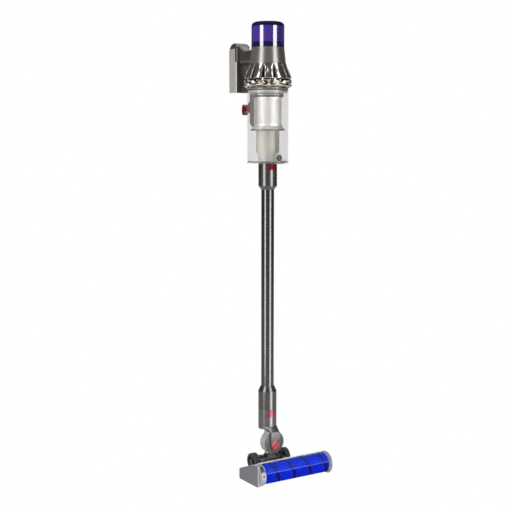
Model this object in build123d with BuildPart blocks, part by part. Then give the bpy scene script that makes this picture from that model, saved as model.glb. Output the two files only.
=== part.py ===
from build123d import *
import os
from math import cos, pi, sin

# A cordless stick vacuum, upright as it hangs in its dock, in millimetres.
# The origin is the middle of the battery's lower end, which the dock carries; +Z is up, -Y is the front.
# Heights are given above the floor, and places fore and aft are given behind the wand's axis.
SEAT_HEIGHT = 1062.0
AXIS_TO_SEAT = 152.0

# Stack of the main unit along the wand's axis: heights of the joins, and radii
CAP_TOP = 1250.0
CAP_BASE = 1195.0
LOCK_BASE = 1181.0
HOUSING_BASE = 1136.5
CYCLONE_BASE = 1070.5
BIN_BASE = 867.5
WAND_TOP = 868.0
FILTER_R = 45.5
CAP_EDGE_R = 13.0
HOUSING_R = 50.0
BIN_R = 58.0
WALL = 2.2

# Shroud, dust collector and inlet inside the bin
SHROUD_R = 38.5
SHROUD_TOP = 1046.0
SHROUD_BASE = 968.0
SKIRT_R = 48.0
COLLECTOR_R = 32.0
COLLECTOR_TOP = 955.0
COLLECTOR_BASE = 894.0
INLET_R = 28.0
INLET_BORE_R = 21.0

# Ring of cyclones
CYCLONES = 12
CONE_FOOT_R = 12.6
CONE_TOP_R = 8.8
FACET_REACH_R = 68.0
FACET_HEIGHT = 1084.0
FACET_HALF = 14.0
FACET_RISE = 13.5
FACET_TIP_HALF = 5.0
FACET_TIP_RISE = 3.5

# Display and mode button
DISPLAY_R = 26.6
BUTTON_BACK = -15.0
MODE_BUTTON_R = 4.0

# Handle, trigger and battery
GRIP_HALF = 18.0
GRIP_TOP = 1179.5
GRIP_BASE = 1142.0
GRIP_FRONT = 40.0
GRIP_RISE = 98.0
GRIP_REAR = 128.7
BATTERY_HALF = 23.0
BATTERY_FRONT = 129.0
BATTERY_BACK = 175.0
BATTERY_TOP = 1150.0
DOME_BASE = 1176.0
DOME_FRONT = 126.0
SHELL = 4.0
TRIGGER_FRONT = 70.0
TRIGGER_BACK = 108.0
TRIGGER_TIP = 1121.0
CELL_R = 10.2
CELL_LENGTH = 70.0
PORT_R = 2.75
PORT_DEPTH = 10.0
PORT_BACK = 14.0

# Bin flap, with a slot that clears the wand, and the bin's release lever
FLAP_THICK = 4.7
SLOT_HALF = 28.6
HINGE_BACK = -61.5
HINGE_HEIGHT = 867.1
HINGE_PIN_R = 1.6
RUNNER_HALF = 9.0
RUNNER_FRONT = 60.5
RUNNER_BACK = 80.0
LEVER_HALF = 8.0

# Wand
COLLAR_R = 26.0
SPIGOT_R = 20.6
TUBE_R = 18.0
TUBE_WALL = 1.2
AIRWAY_R = 17.5
UPPER_COLLAR_BASE = 802.0
LOWER_COLLAR_TOP = 221.0
NECK_TOP = 171.0
CONE_STEP = 10.0
LOWER_CONE_STEP = 16.0
SPIGOT_LENGTH = 36.0

# Neck and swivel: the head rolls about a fore-and-aft pivot and pitches about the wheels' axle
NECK_BASE = 113.5
NECK_FLARE = 122.0
ROLL_HEIGHT = 78.0
DRUM_R = 32.5
DRUM_FRONT = -36.0
DRUM_BACK = -12.0
DRUM_RIBS = 40
FORK_PLATE = 7.0
FORK_HALF = 15.0
PIVOT_R = 4.0
CAP_HEIGHT = 71.0
PIVOT_CAP_R = 12.5
AXLE_BACK = -8.0
AXLE_HEIGHT = 24.0
AXLE_R = 4.0
WHEEL_R = 24.0
WHEEL_IN = 43.0
WHEEL_OUT = 59.0

# Floor head and roller
HEAD_LEFT = -129.0
HEAD_RIGHT = 113.5
HEAD_REAR = -56.0
ROLLER_BACK = -130.0
ROLLER_R = 27.5
ROLLER_HEIGHT = 28.0
ROLLER_LEFT = -106.0
ROLLER_RIGHT = 105.0
CORE_R = 21.5
CORE_BORE_R = 18.5
CAP_FRONT = -152.0
CAP_REAR_TOP = 31.0
LEFT_CAP_TOP = 63.0
TRIM_SHOULDER = 50.5
RIGHT_CAP_PROUD = 1.5
RIGHT_PLATE = 5.5
TRIM_R = 30.0
COVER_GAP = 1.6
WINDOW_START = 86.0
WINDOW_EDGE = 162.0
FASTENER_R = 11.0

GAP = 0.3
RUNNING = 0.05

FOOT = Vector(0, -AXIS_TO_SEAT, -SEAT_HEIGHT)
SPINE = Axis(FOOT, (0, 0, 1))
TURNED = Plane(FOOT, x_dir=(1, 0, 0), z_dir=(0, -1, 0))
SIDE = Plane(FOOT, x_dir=(0, 1, 0), z_dir=(1, 0, 0))

os.makedirs("parts", exist_ok=True)


def level(height, back=0.0, side=0.0):
    """Horizontal plane at a height above the floor, its origin so far behind the wand's axis."""
    return Plane(FOOT + Vector(side, back, height))


def crosswise(side, back, height):
    """Upright plane facing +X: its first axis points back and its second up."""
    return Plane(FOOT + Vector(side, back, height), x_dir=(0, 1, 0), z_dir=(1, 0, 0))


def facing(back, height):
    """Upright plane facing the front: its first axis points to +X and its second up."""
    return Plane(FOOT + Vector(0, back, height), x_dir=(1, 0, 0), z_dir=(0, -1, 0))


def turned(*points):
    """Face from (radius, height) points, to be revolved about the wand's axis."""
    with BuildSketch(TURNED) as profile:
        with BuildLine():
            Polyline(*points, close=True)
        make_face()
    return profile.sketch


def side_face(*points):
    """Face from (back, height) points, to be extruded across the object."""
    with BuildSketch(SIDE) as profile:
        with BuildLine():
            Polyline(*points, close=True)
        make_face()
    return profile.sketch


def finish(piece, name):
    """Labels a piece and writes it as its own node."""
    piece.part.label = name
    export_step(piece.part, f"parts/{name}.step")


# Filter: a domed cap over a pleated ring, on a lock ring that twists free of the motor housing
with BuildPart() as filter_cap:
    with BuildSketch(TURNED):
        with BuildLine():
            shoulder = CAP_TOP - CAP_EDGE_R
            inner_r = DISPLAY_R + 0.9
            Line((FILTER_R, CAP_BASE), (FILTER_R, shoulder))
            CenterArc((FILTER_R - CAP_EDGE_R, shoulder), CAP_EDGE_R, 0, 90)
            Polyline(
                (FILTER_R - CAP_EDGE_R, CAP_TOP),
                (inner_r, CAP_TOP),
                (inner_r, CAP_TOP - 36),
                (inner_r + WALL, CAP_TOP - 36),
                (inner_r + WALL, CAP_TOP - WALL),
                (FILTER_R - CAP_EDGE_R, CAP_TOP - WALL),
            )
            CenterArc((FILTER_R - CAP_EDGE_R, shoulder), CAP_EDGE_R - WALL, 90, -90)
            Polyline((FILTER_R - WALL, shoulder), (FILTER_R - WALL, CAP_BASE), (FILTER_R, CAP_BASE))
        make_face()
    revolve(axis=SPINE)
finish(filter_cap, "filter_cap")

PLEATS = 40
PLEAT_OUT_R = FILTER_R - WALL
PLEAT_IN_R = 34.0
PAPER = 2.4


def pleat_ring(shrink):
    """Zigzag outline of the pleats, drawn in by so much."""
    points = []
    for step in range(2 * PLEATS):
        angle = pi * step / PLEATS
        radius = (PLEAT_OUT_R if step % 2 else PLEAT_IN_R) - shrink
        points.append((radius * cos(angle), radius * sin(angle)))
    return points


with BuildPart() as filter_media:
    with BuildSketch(level(CAP_BASE + 0.5)):
        with BuildLine():
            Polyline(*pleat_ring(0), close=True)
        make_face()
        with BuildLine():
            Polyline(*pleat_ring(PAPER), close=True)
        make_face(mode=Mode.SUBTRACT)
    extrude(amount=CAP_TOP - CAP_EDGE_R - CAP_BASE - 1)
finish(filter_media, "filter_media")

with BuildPart() as filter_lock_ring:
    ring_low = LOCK_BASE + GAP
    ring_high = CAP_BASE - GAP
    revolve(
        turned(
            (33, ring_low),
            (FILTER_R, ring_low),
            (FILTER_R, ring_high),
            (FILTER_R - 2 * WALL, ring_high),
            (FILTER_R - 2 * WALL, ring_low + 6),
            (33, ring_low + 6),
        ),
        axis=SPINE,
    )
finish(filter_lock_ring, "filter_lock_ring")

# Display: a bezel on the housing's top flange, a lens in it, and the mode button through both
with BuildPart() as display_bezel:
    bezel_in = DISPLAY_R - WALL
    bezel_top = CAP_TOP - 3
    lens_seat = bezel_top - 3.2
    revolve(
        turned(
            (0, lens_seat - 4),
            (bezel_in, lens_seat - 4),
            (bezel_in, LOCK_BASE),
            (DISPLAY_R, LOCK_BASE),
            (DISPLAY_R, bezel_top),
            (bezel_in, bezel_top),
            (bezel_in, lens_seat),
            (0, lens_seat),
        ),
        axis=SPINE,
    )
    with Locations(level(lens_seat, BUTTON_BACK)):
        Hole(MODE_BUTTON_R + GAP)
finish(display_bezel, "display_bezel")

with BuildPart() as display_lens:
    with BuildSketch(level(lens_seat)):
        Circle(bezel_in - 0.1)
        with Locations((0, BUTTON_BACK)):
            Circle(MODE_BUTTON_R + GAP, mode=Mode.SUBTRACT)
    extrude(amount=2.6)
finish(display_lens, "display_lens")

with BuildPart() as mode_button:
    with BuildSketch(level(lens_seat - 7, BUTTON_BACK)):
        Circle(MODE_BUTTON_R)
    extrude(amount=11)
    fillet(mode_button.faces().sort_by(Axis.Z)[-1].edges(), 0.8)
finish(mode_button, "mode_button")

# Motor housing, the motor on its rubber mount, and the impeller on the motor's shaft
HOUSING_OUTLINE = (
    (HOUSING_R, HOUSING_BASE),
    (FILTER_R, LOCK_BASE - 3),
    (FILTER_R, LOCK_BASE),
)

with BuildPart() as motor_housing:
    revolve(
        turned(
            *HOUSING_OUTLINE,
            (22, LOCK_BASE),
            (22, LOCK_BASE - WALL),
            (FILTER_R - WALL, LOCK_BASE - WALL),
            (HOUSING_R - WALL, HOUSING_BASE),
        ),
        axis=SPINE,
    )
finish(motor_housing, "motor_housing")

MOTOR_R = 26.0
MOTOR_BASE = 1146.0
MOTOR_TOP = 1178.0
MOUNT_R = 44.8
SHAFT_R = 2.5

with BuildPart() as motor_can:
    with BuildSketch(level(MOTOR_BASE)):
        Circle(MOTOR_R)
        Circle(SHAFT_R + RUNNING, mode=Mode.SUBTRACT)
    extrude(amount=MOTOR_TOP - MOTOR_BASE)
finish(motor_can, "motor_can")

with BuildPart() as motor_mount:
    with BuildSketch(level(MOTOR_BASE + 4)):
        Circle(MOUNT_R)
        Circle(MOTOR_R, mode=Mode.SUBTRACT)
    extrude(amount=8)
finish(motor_mount, "motor_mount")

IMPELLER_R = 23.0
DISC_BASE = 1137.0
BLADES = 9

with BuildPart() as impeller:
    with BuildSketch(level(DISC_BASE)):
        Circle(IMPELLER_R)
    extrude(amount=3)
    with BuildSketch(level(DISC_BASE - 11)):
        Circle(6)
    extrude(amount=18)
    with BuildSketch(level(DISC_BASE - 9)):
        with PolarLocations(IMPELLER_R - 9.5, BLADES):
            Rectangle(17, 1.2)
    extrude(amount=10)
    with BuildSketch(level(DISC_BASE + 7)):
        Circle(SHAFT_R)
    extrude(amount=MOTOR_TOP - 15 - DISC_BASE)
finish(impeller, "impeller")

# Cyclone shell: a tapered core with a ring of leaning cones, each on a facet; the runner has the rear place
CONE_FOOT_AT = 53.8
CONE_TOP_AT = 45.6
CONE_FOOT_HEIGHT = 1091.0
CONE_TOP_HEIGHT = 1134.0
CORE_FOOT = (57.2, 1075.0)
CORE_WAIST = (52.0, 1092.0)

with BuildPart() as cyclone_shell:
    revolve(
        turned(
            (48, CYCLONE_BASE),
            (CORE_FOOT[0], CYCLONE_BASE),
            CORE_FOOT,
            CORE_WAIST,
            (HOUSING_R, HOUSING_BASE),
            (46, HOUSING_BASE),
            (46, CORE_WAIST[1]),
            (48, CORE_FOOT[1]),
        ),
        axis=SPINE,
    )
    for place in range(1, CYCLONES):
        turn = 90 + 360 * place / CYCLONES
        outward = Vector(1, 0, 0).rotate(Axis.Z, turn)
        foot = FOOT + outward * CONE_FOOT_AT + Vector(0, 0, CONE_FOOT_HEIGHT)
        top = FOOT + outward * CONE_TOP_AT + Vector(0, 0, CONE_TOP_HEIGHT)
        with BuildSketch(Plane(foot, z_dir=top - foot)):
            Circle(CONE_FOOT_R)
        with BuildSketch(Plane(top, z_dir=top - foot)):
            Circle(CONE_TOP_R)
        loft()
        root = FOOT + outward * (CORE_WAIST[0] - 2) + Vector(0, 0, FACET_HEIGHT)
        tip = FOOT + outward * FACET_REACH_R + Vector(0, 0, FACET_HEIGHT)
        along = outward.rotate(Axis.Z, 90)
        with BuildSketch(Plane(root, x_dir=along, z_dir=outward)):
            Polygon((FACET_HALF, 0), (0, FACET_RISE), (-FACET_HALF, 0), (0, 1 - FACET_RISE), align=None)
        with BuildSketch(Plane(tip, x_dir=along, z_dir=outward)):
            Polygon(
                (FACET_TIP_HALF, 0),
                (0, FACET_TIP_RISE),
                (-FACET_TIP_HALF, 0),
                (0, -FACET_TIP_RISE),
                align=None,
            )
        loft()
    revolve(
        turned((0, CYCLONE_BASE), (48, CYCLONE_BASE), (48, CORE_FOOT[1]), (46, CORE_WAIST[1]),
               (46, HOUSING_BASE), (0, HOUSING_BASE)),
        axis=SPINE,
        mode=Mode.SUBTRACT,
    )
finish(cyclone_shell, "cyclone_shell")

# Bin seat: the grey ring that the bin slides up over, with a rubber seal under it
SEAT_R = BIN_R - WALL - 1.1
SEAT_BORE_R = 30.0
SHROUD_COLLAR = 6.0

with BuildPart() as bin_seat:
    seat_base = SHROUD_TOP + SHROUD_COLLAR
    revolve(
        turned(
            (SEAT_BORE_R, seat_base),
            (SHROUD_R + 5.5, seat_base),
            (SHROUD_R + 5.5, seat_base + 4),
            (SEAT_R, seat_base + 6),
            (SEAT_R, CYCLONE_BASE),
            (SEAT_R - 2 * WALL, CYCLONE_BASE),
            (SEAT_R - 2 * WALL, seat_base + 10),
            (SEAT_BORE_R, seat_base + 5),
        ),
        axis=SPINE,
    )
finish(bin_seat, "bin_seat")

with BuildPart() as shroud_collar:
    with BuildSketch(level(SHROUD_TOP)):
        Circle(SHROUD_R + 4.5)
        Circle(SHROUD_R - 4, mode=Mode.SUBTRACT)
    extrude(amount=SHROUD_COLLAR)
finish(shroud_collar, "shroud_collar")

with BuildPart() as shroud_mesh:
    with BuildSketch(level(SHROUD_BASE)):
        Circle(SHROUD_R)
        Circle(SHROUD_R - 1.2, mode=Mode.SUBTRACT)
    extrude(amount=SHROUD_TOP - SHROUD_BASE)
finish(shroud_mesh, "shroud_mesh")

with BuildPart() as shroud_skirt:
    revolve(
        turned(
            (COLLECTOR_R - 2, COLLECTOR_TOP),
            (SKIRT_R - 2, COLLECTOR_TOP),
            (SKIRT_R, COLLECTOR_TOP),
            (SKIRT_R, COLLECTOR_TOP + 1.6),
            (SHROUD_R + 0.6, SHROUD_BASE),
            (SHROUD_R - 3, SHROUD_BASE),
            (COLLECTOR_R - 2, COLLECTOR_TOP + 4),
        ),
        axis=SPINE,
    )
finish(shroud_skirt, "shroud_skirt")

with BuildPart() as dust_collector:
    revolve(
        turned(
            (INLET_R - 3 + GAP, COLLECTOR_BASE),
            (COLLECTOR_R, COLLECTOR_BASE),
            (COLLECTOR_R, COLLECTOR_TOP),
            (COLLECTOR_R - WALL, COLLECTOR_TOP),
            (COLLECTOR_R - WALL, COLLECTOR_BASE + 3),
            (INLET_R - 3 + GAP, COLLECTOR_BASE + 3),
        ),
        axis=SPINE,
    )
finish(dust_collector, "dust_collector")

with BuildPart() as inlet_duct:
    revolve(
        turned(
            (INLET_BORE_R, WAND_TOP),
            (INLET_R, WAND_TOP),
            (INLET_R, COLLECTOR_BASE),
            (INLET_R - 3, COLLECTOR_BASE),
            (INLET_R - 3, COLLECTOR_TOP + 3),
            (INLET_BORE_R, COLLECTOR_TOP + 3),
        ),
        axis=SPINE,
    )
finish(inlet_duct, "inlet_duct")

# Handle: two shells screwed together round the trigger's switch and the control board, over the battery
SCREW_PLACES = ((66.0, 1162.0), (116.0, 1166.0), (158.0, 1172.0))
SCREW_HEAD_R = 3.0
SCREW_SHANK_R = 1.5
BOARD_HEIGHT = 1172.0

with BuildPart() as handle_dome:
    with BuildSketch(SIDE):
        with BuildLine():
            Polyline(
                (DOME_FRONT, GRIP_TOP + 12.5),
                (DOME_FRONT, BATTERY_TOP + 0.2),
                (BATTERY_BACK, BATTERY_TOP + 0.2),
                (BATTERY_BACK, DOME_BASE),
            )
            TangentArc((BATTERY_BACK, DOME_BASE), (DOME_FRONT, GRIP_TOP + 12.5), tangent=(0, 1))
        make_face()
    extrude(amount=BATTERY_HALF, both=True)
    rims = handle_dome.edges().filter_by(lambda edge: abs(edge.center().X) > BATTERY_HALF - 0.1)
    fillet(rims.filter_by(lambda edge: edge.center().Z + SEAT_HEIGHT > BATTERY_TOP + 5), 8)

with BuildPart() as handle:
    extrude(
        side_face(
            (GRIP_FRONT, GRIP_BASE),
            (GRIP_FRONT, GRIP_TOP),
            (GRIP_RISE, GRIP_TOP),
            (GRIP_REAR, GRIP_TOP + 15),
            (GRIP_REAR, GRIP_BASE),
        ),
        amount=GRIP_HALF,
        both=True,
    )
    rims = handle.edges().filter_by(lambda edge: abs(edge.center().X) > GRIP_HALF - 0.1)
    fillet(rims.filter_by(lambda edge: GRIP_FRONT + 1 < edge.center().Y + AXIS_TO_SEAT), 11)
    add(handle_dome.part)
    extrude(
        side_face(
            (GRIP_FRONT + SHELL, GRIP_BASE + 3),
            (GRIP_FRONT + SHELL, GRIP_TOP - 3),
            (GRIP_RISE - 2, GRIP_TOP - 3),
            (GRIP_REAR - SHELL, GRIP_TOP + 8),
            (GRIP_REAR - SHELL, GRIP_BASE + 3),
        ),
        amount=GRIP_HALF - SHELL,
        both=True,
        mode=Mode.SUBTRACT,
    )
    extrude(
        side_face(
            (GRIP_REAR - 11, BATTERY_TOP + 6),
            (GRIP_REAR - 11, GRIP_TOP + 2),
            (BATTERY_BACK - 25, GRIP_TOP + 14),
            (BATTERY_BACK - 7, DOME_BASE + 2),
            (BATTERY_BACK - 7, BATTERY_TOP + 6),
        ),
        amount=GRIP_HALF - SHELL,
        both=True,
        mode=Mode.SUBTRACT,
    )
    revolve(turned(*HOUSING_OUTLINE, (0, LOCK_BASE), (0, HOUSING_BASE)), axis=SPINE, mode=Mode.SUBTRACT)
    with BuildSketch(level(GRIP_BASE - 1, (TRIGGER_FRONT + TRIGGER_BACK) / 2)):
        Rectangle(15, TRIGGER_BACK - TRIGGER_FRONT + 1)
    extrude(amount=5, mode=Mode.SUBTRACT)

with BuildPart() as handle_left:
    add(handle.part)
    split(bisect_by=Plane.YZ, keep=Keep.BOTTOM)
finish(handle_left, "handle_left")

with BuildPart() as handle_right:
    add(handle.part)
    split(bisect_by=Plane.YZ, keep=Keep.TOP)
    for back, height in SCREW_PLACES:
        reach = BATTERY_HALF if back > BATTERY_FRONT else GRIP_HALF
        with Locations(crosswise(reach, back, height)):
            CounterBoreHole(SCREW_SHANK_R, SCREW_HEAD_R, 2.4, depth=9)
finish(handle_right, "handle_right")

with BuildPart() as handle_screws:
    for back, height in SCREW_PLACES:
        reach = BATTERY_HALF if back > BATTERY_FRONT else GRIP_HALF
        with BuildSketch(crosswise(reach - 2.4, back, height)):
            Circle(SCREW_HEAD_R - 0.1)
        extrude(amount=1.6)
        with BuildSketch(crosswise(reach - 2.4, back, height)):
            Circle(SCREW_SHANK_R - 0.1)
        extrude(amount=-6)
finish(handle_screws, "handle_screws")

with BuildPart() as control_board:
    with BuildSketch(level(BOARD_HEIGHT, GRIP_FRONT + 38)):
        Rectangle(2 * (GRIP_HALF - SHELL), 50)
    extrude(amount=1.6)
finish(control_board, "control_board")

with BuildPart() as trigger_switch:
    with BuildSketch(level(BOARD_HEIGHT - 12, (TRIGGER_FRONT + TRIGGER_BACK) / 2)):
        Rectangle(8, 16)
    extrude(amount=12)
finish(trigger_switch, "trigger_switch")

with BuildPart() as trigger:
    flange_base = GRIP_BASE + 3.6
    with BuildSketch(SIDE):
        with BuildLine():
            Polyline(
                (TRIGGER_FRONT + 4, TRIGGER_TIP + 3),
                (TRIGGER_FRONT, TRIGGER_TIP + 11),
                (TRIGGER_FRONT, flange_base),
                (TRIGGER_BACK, flange_base),
                (TRIGGER_BACK, TRIGGER_TIP + 15),
            )
            ThreePointArc(
                (TRIGGER_BACK, TRIGGER_TIP + 15),
                (TRIGGER_FRONT + 22, TRIGGER_TIP + 10),
                (TRIGGER_FRONT + 12, TRIGGER_TIP),
            )
            Line((TRIGGER_FRONT + 12, TRIGGER_TIP), (TRIGGER_FRONT + 4, TRIGGER_TIP + 3))
        make_face()
    extrude(amount=7, both=True)
    fillet(trigger.edges().filter_by(lambda edge: edge.center().Z + SEAT_HEIGHT < TRIGGER_TIP + 14), 1.8)
    with BuildSketch(level(flange_base, (TRIGGER_FRONT + TRIGGER_BACK) / 2)):
        Rectangle(20, TRIGGER_BACK - TRIGGER_FRONT + 6)
    extrude(amount=3)
finish(trigger, "trigger")

BATTERY_MIDDLE = (BATTERY_FRONT + BATTERY_BACK) / 2
BATTERY_DEPTH = BATTERY_BACK - BATTERY_FRONT
CELL_PITCH = 20.8

with BuildPart() as battery_case:
    with BuildSketch(level(SEAT_HEIGHT, BATTERY_MIDDLE)):
        RectangleRounded(2 * BATTERY_HALF, BATTERY_DEPTH, 9)
    extrude(amount=BATTERY_TOP - SEAT_HEIGHT)
    fillet(battery_case.faces().sort_by(Axis.Z)[0].edges(), 2.5)
    with BuildSketch(level(SEAT_HEIGHT + 14, BATTERY_MIDDLE)):
        RectangleRounded(2 * BATTERY_HALF - 2 * WALL, BATTERY_DEPTH - 2 * WALL, 7)
    extrude(amount=CELL_LENGTH + 1, mode=Mode.SUBTRACT)
    with BuildSketch(level(SEAT_HEIGHT, BATTERY_MIDDLE + PORT_BACK)):
        Circle(PORT_R)
    extrude(amount=PORT_DEPTH, mode=Mode.SUBTRACT)
    with BuildSketch(level(SEAT_HEIGHT, BATTERY_MIDDLE)):
        with GridLocations(30, 1, 2, 1):
            Circle(SCREW_HEAD_R)
    extrude(amount=4, mode=Mode.SUBTRACT)
finish(battery_case, "battery_case")

with BuildPart() as battery_screws:
    with BuildSketch(level(SEAT_HEIGHT + 2.4, BATTERY_MIDDLE)):
        with GridLocations(30, 1, 2, 1):
            Circle(SCREW_HEAD_R - 0.1)
    extrude(amount=1.6)
finish(battery_screws, "battery_screws")

with BuildPart() as battery_cells:
    with BuildSketch(level(SEAT_HEIGHT + 14, BATTERY_MIDDLE)):
        with GridLocations(CELL_PITCH, CELL_PITCH, 2, 2):
            Circle(CELL_R)
    extrude(amount=CELL_LENGTH)
finish(battery_cells, "battery_cells")

# Bin runner behind the bin, and the red lever that slides down it to empty the bin
RUNNER_BASE = 966.0
LEVER_TOP = 1036.0
LEVER_BASE = 998.0
GROOVE_HALF = 4.3

with BuildPart() as bin_runner:
    with BuildSketch(level(RUNNER_BASE)):
        with Locations((0, (RUNNER_FRONT + RUNNER_BACK) / 2)):
            Rectangle(2 * RUNNER_HALF, RUNNER_BACK - RUNNER_FRONT)
        Circle(BIN_R + 1.2, mode=Mode.SUBTRACT)
    extrude(amount=CYCLONE_BASE - RUNNER_BASE)
    runner_foot = bin_runner.faces().sort_by(Axis.Z)[0].edges().sort_by(Axis.Y)[-1]
    chamfer(runner_foot, 11)
    with BuildSketch(level(CYCLONE_BASE - 5)):
        with Locations((0, (CORE_FOOT[0] + RUNNER_BACK) / 2)):
            Rectangle(2 * RUNNER_HALF, RUNNER_BACK - CORE_FOOT[0])
        Circle(BIN_R + 1.2, mode=Mode.SUBTRACT)
    extrude(amount=30)
    with BuildSketch(level(CYCLONE_BASE)):
        with Locations((0, RUNNER_FRONT)):
            Rectangle(2 * RUNNER_HALF, 14)
        Circle(CORE_FOOT[0], mode=Mode.SUBTRACT)
    extrude(amount=25)
    with BuildSketch(level(LEVER_BASE - 14, RUNNER_BACK - 3)):
        Rectangle(2 * GROOVE_HALF, 6.4)
    extrude(amount=LEVER_TOP - LEVER_BASE + 16, mode=Mode.SUBTRACT)
finish(bin_runner, "bin_runner")

with BuildPart() as bin_lever:
    with BuildSketch(SIDE):
        with BuildLine():
            tip = RUNNER_BACK + 40
            root_top = (RUNNER_BACK + 7, LEVER_TOP)
            root_base = (RUNNER_BACK + GAP, LEVER_BASE + 2)
            Polyline(root_base, (RUNNER_BACK + GAP, LEVER_TOP), root_top)
            ThreePointArc(root_top, (tip - 16, LEVER_TOP - 12), (tip, LEVER_TOP - 6))
            ThreePointArc((tip, LEVER_TOP - 6), (tip + 6, LEVER_TOP - 20), (tip, LEVER_BASE))
            ThreePointArc((tip, LEVER_BASE), (tip - 16, LEVER_BASE + 11), root_base)
        make_face()
    extrude(amount=LEVER_HALF, both=True)
    fillet(bin_lever.edges().filter_by(lambda edge: edge.center().Y + AXIS_TO_SEAT > RUNNER_BACK + 12), 1.6)
    with BuildSketch(level(LEVER_BASE + 4, RUNNER_BACK - 2.4)):
        Rectangle(2 * GROOVE_HALF - 2 * GAP, 5.8)
    extrude(amount=LEVER_TOP - LEVER_BASE - 6)
finish(bin_lever, "bin_lever")

# Bin: a clear cylinder with a fixed tongue at the back of its floor, and a slotted flap hinged at the front
BIN_FLOOR = BIN_BASE + 2.5
FLAP_TOP = BIN_FLOOR - GAP
FLAP_BASE = FLAP_TOP - FLAP_THICK
EAR_IN = 9.0
EAR_OUT = 16.0
EAR_R = 3.8
KNUCKLE_R = 3.2

with BuildPart() as bin_cylinder:
    with BuildSketch(level(BIN_FLOOR)):
        Circle(BIN_R)
    extrude(amount=CYCLONE_BASE - BIN_FLOOR - 0.5)
    for side in (-EAR_OUT, EAR_IN):
        with BuildSketch(crosswise(side, HINGE_BACK, HINGE_HEIGHT)):
            Circle(EAR_R)
            with Locations((0, 5)):
                Rectangle(2 * EAR_R, 10)
            with Locations((2.5, 6.5)):
                Rectangle(9.5, 7)
            Circle(HINGE_PIN_R, mode=Mode.SUBTRACT)
        extrude(amount=EAR_OUT - EAR_IN)
    with BuildSketch(level(BIN_FLOOR)):
        Circle(BIN_R - WALL)
    extrude(amount=CYCLONE_BASE - BIN_FLOOR, mode=Mode.SUBTRACT)
    with BuildSketch(level(FLAP_BASE)):
        Circle(BIN_R)
        with Locations((0, BIN_R)):
            Rectangle(2 * SLOT_HALF - 1, 2 * BIN_R, mode=Mode.INTERSECT)
        Circle(SLOT_HALF, mode=Mode.SUBTRACT)
    extrude(amount=FLAP_THICK + 1.5)
finish(bin_cylinder, "bin_cylinder")

with BuildPart() as bin_seal:
    revolve(
        turned(
            (SEAT_R + 0.4, CYCLONE_BASE - 6),
            (BIN_R - WALL, CYCLONE_BASE - 6),
            (BIN_R - WALL, CYCLONE_BASE - 2),
            (SEAT_R + 0.4, CYCLONE_BASE - 2),
        ),
        axis=SPINE,
    )
finish(bin_seal, "bin_seal")

with BuildPart() as flap_pin:
    with BuildSketch(crosswise(-EAR_OUT, HINGE_BACK, HINGE_HEIGHT)):
        Circle(HINGE_PIN_R)
    extrude(amount=2 * EAR_OUT)
finish(flap_pin, "flap_pin")

with BuildPart() as bin_flap:
    with BuildSketch(level(FLAP_BASE)):
        Circle(BIN_R)
        with Locations((0, BIN_R)):
            Rectangle(2 * SLOT_HALF, 2 * BIN_R, mode=Mode.SUBTRACT)
        Circle(SLOT_HALF, mode=Mode.SUBTRACT)
        with Locations((0, HINGE_BACK + 4)):
            Rectangle(2 * EAR_IN - 1, 7)
    extrude(amount=FLAP_THICK)
    with BuildSketch(crosswise(0.5 - EAR_IN, HINGE_BACK, HINGE_HEIGHT)):
        Circle(KNUCKLE_R)
    extrude(amount=2 * EAR_IN - 1)
    with BuildSketch(crosswise(0.5 - EAR_IN, HINGE_BACK, HINGE_HEIGHT)):
        Circle(HINGE_PIN_R + RUNNING)
    extrude(amount=2 * EAR_IN - 1, mode=Mode.SUBTRACT)
finish(bin_flap, "bin_flap")

with BuildPart() as flap_seal:
    with BuildSketch(level(FLAP_TOP)):
        Circle(BIN_R - WALL - 0.5)
        Circle(BIN_R - WALL - 3, mode=Mode.SUBTRACT)
        with Locations((0, BIN_R)):
            Rectangle(2 * SLOT_HALF + 1, 2 * BIN_R, mode=Mode.SUBTRACT)
    extrude(amount=1.4)
finish(flap_seal, "flap_seal")

# Wand: a tube between two collars, with a red release button on the upper one
COLLAR_SHOULDER = TUBE_R + 0.8
TUBE_BASE = 214.0
TUBE_TOP = UPPER_COLLAR_BASE + 16
CABLE_R = 1.6
BUTTON_HALF = 10.5
BUTTON_LOW = 848.0
BUTTON_HIGH = 864.5

with BuildPart() as wand_tube:
    with BuildSketch(level(TUBE_BASE)):
        Circle(TUBE_R)
        Circle(TUBE_R - TUBE_WALL, mode=Mode.SUBTRACT)
    extrude(amount=TUBE_TOP - TUBE_BASE)
finish(wand_tube, "wand_tube")

with BuildPart() as wand_upper_collar:
    revolve(
        turned(
            (TUBE_R, UPPER_COLLAR_BASE - CONE_STEP),
            (COLLAR_SHOULDER, UPPER_COLLAR_BASE - CONE_STEP),
            (COLLAR_R, UPPER_COLLAR_BASE),
            (COLLAR_R, WAND_TOP - GAP),
            (SPIGOT_R, WAND_TOP - GAP),
            (SPIGOT_R, WAND_TOP + SPIGOT_LENGTH),
            (AIRWAY_R, WAND_TOP + SPIGOT_LENGTH),
            (AIRWAY_R, TUBE_TOP),
            (TUBE_R, TUBE_TOP),
        ),
        axis=SPINE,
    )
    with BuildSketch(facing(-20, (BUTTON_LOW + BUTTON_HIGH) / 2)):
        Rectangle(2 * BUTTON_HALF + 0.8, BUTTON_HIGH - BUTTON_LOW + 0.8)
    extrude(amount=12, mode=Mode.SUBTRACT)
finish(wand_upper_collar, "wand_upper_collar")

with BuildPart() as wand_button:
    with BuildSketch(facing(-22.6, (BUTTON_LOW + BUTTON_HIGH) / 2)):
        RectangleRounded(2 * BUTTON_HALF, BUTTON_HIGH - BUTTON_LOW, 2)
    extrude(amount=10)
    with BuildSketch(level(BUTTON_LOW - 1)):
        Circle(COLLAR_R + 1.6)
    extrude(amount=BUTTON_HIGH - BUTTON_LOW + 2, mode=Mode.INTERSECT)
finish(wand_button, "wand_button")

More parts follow.
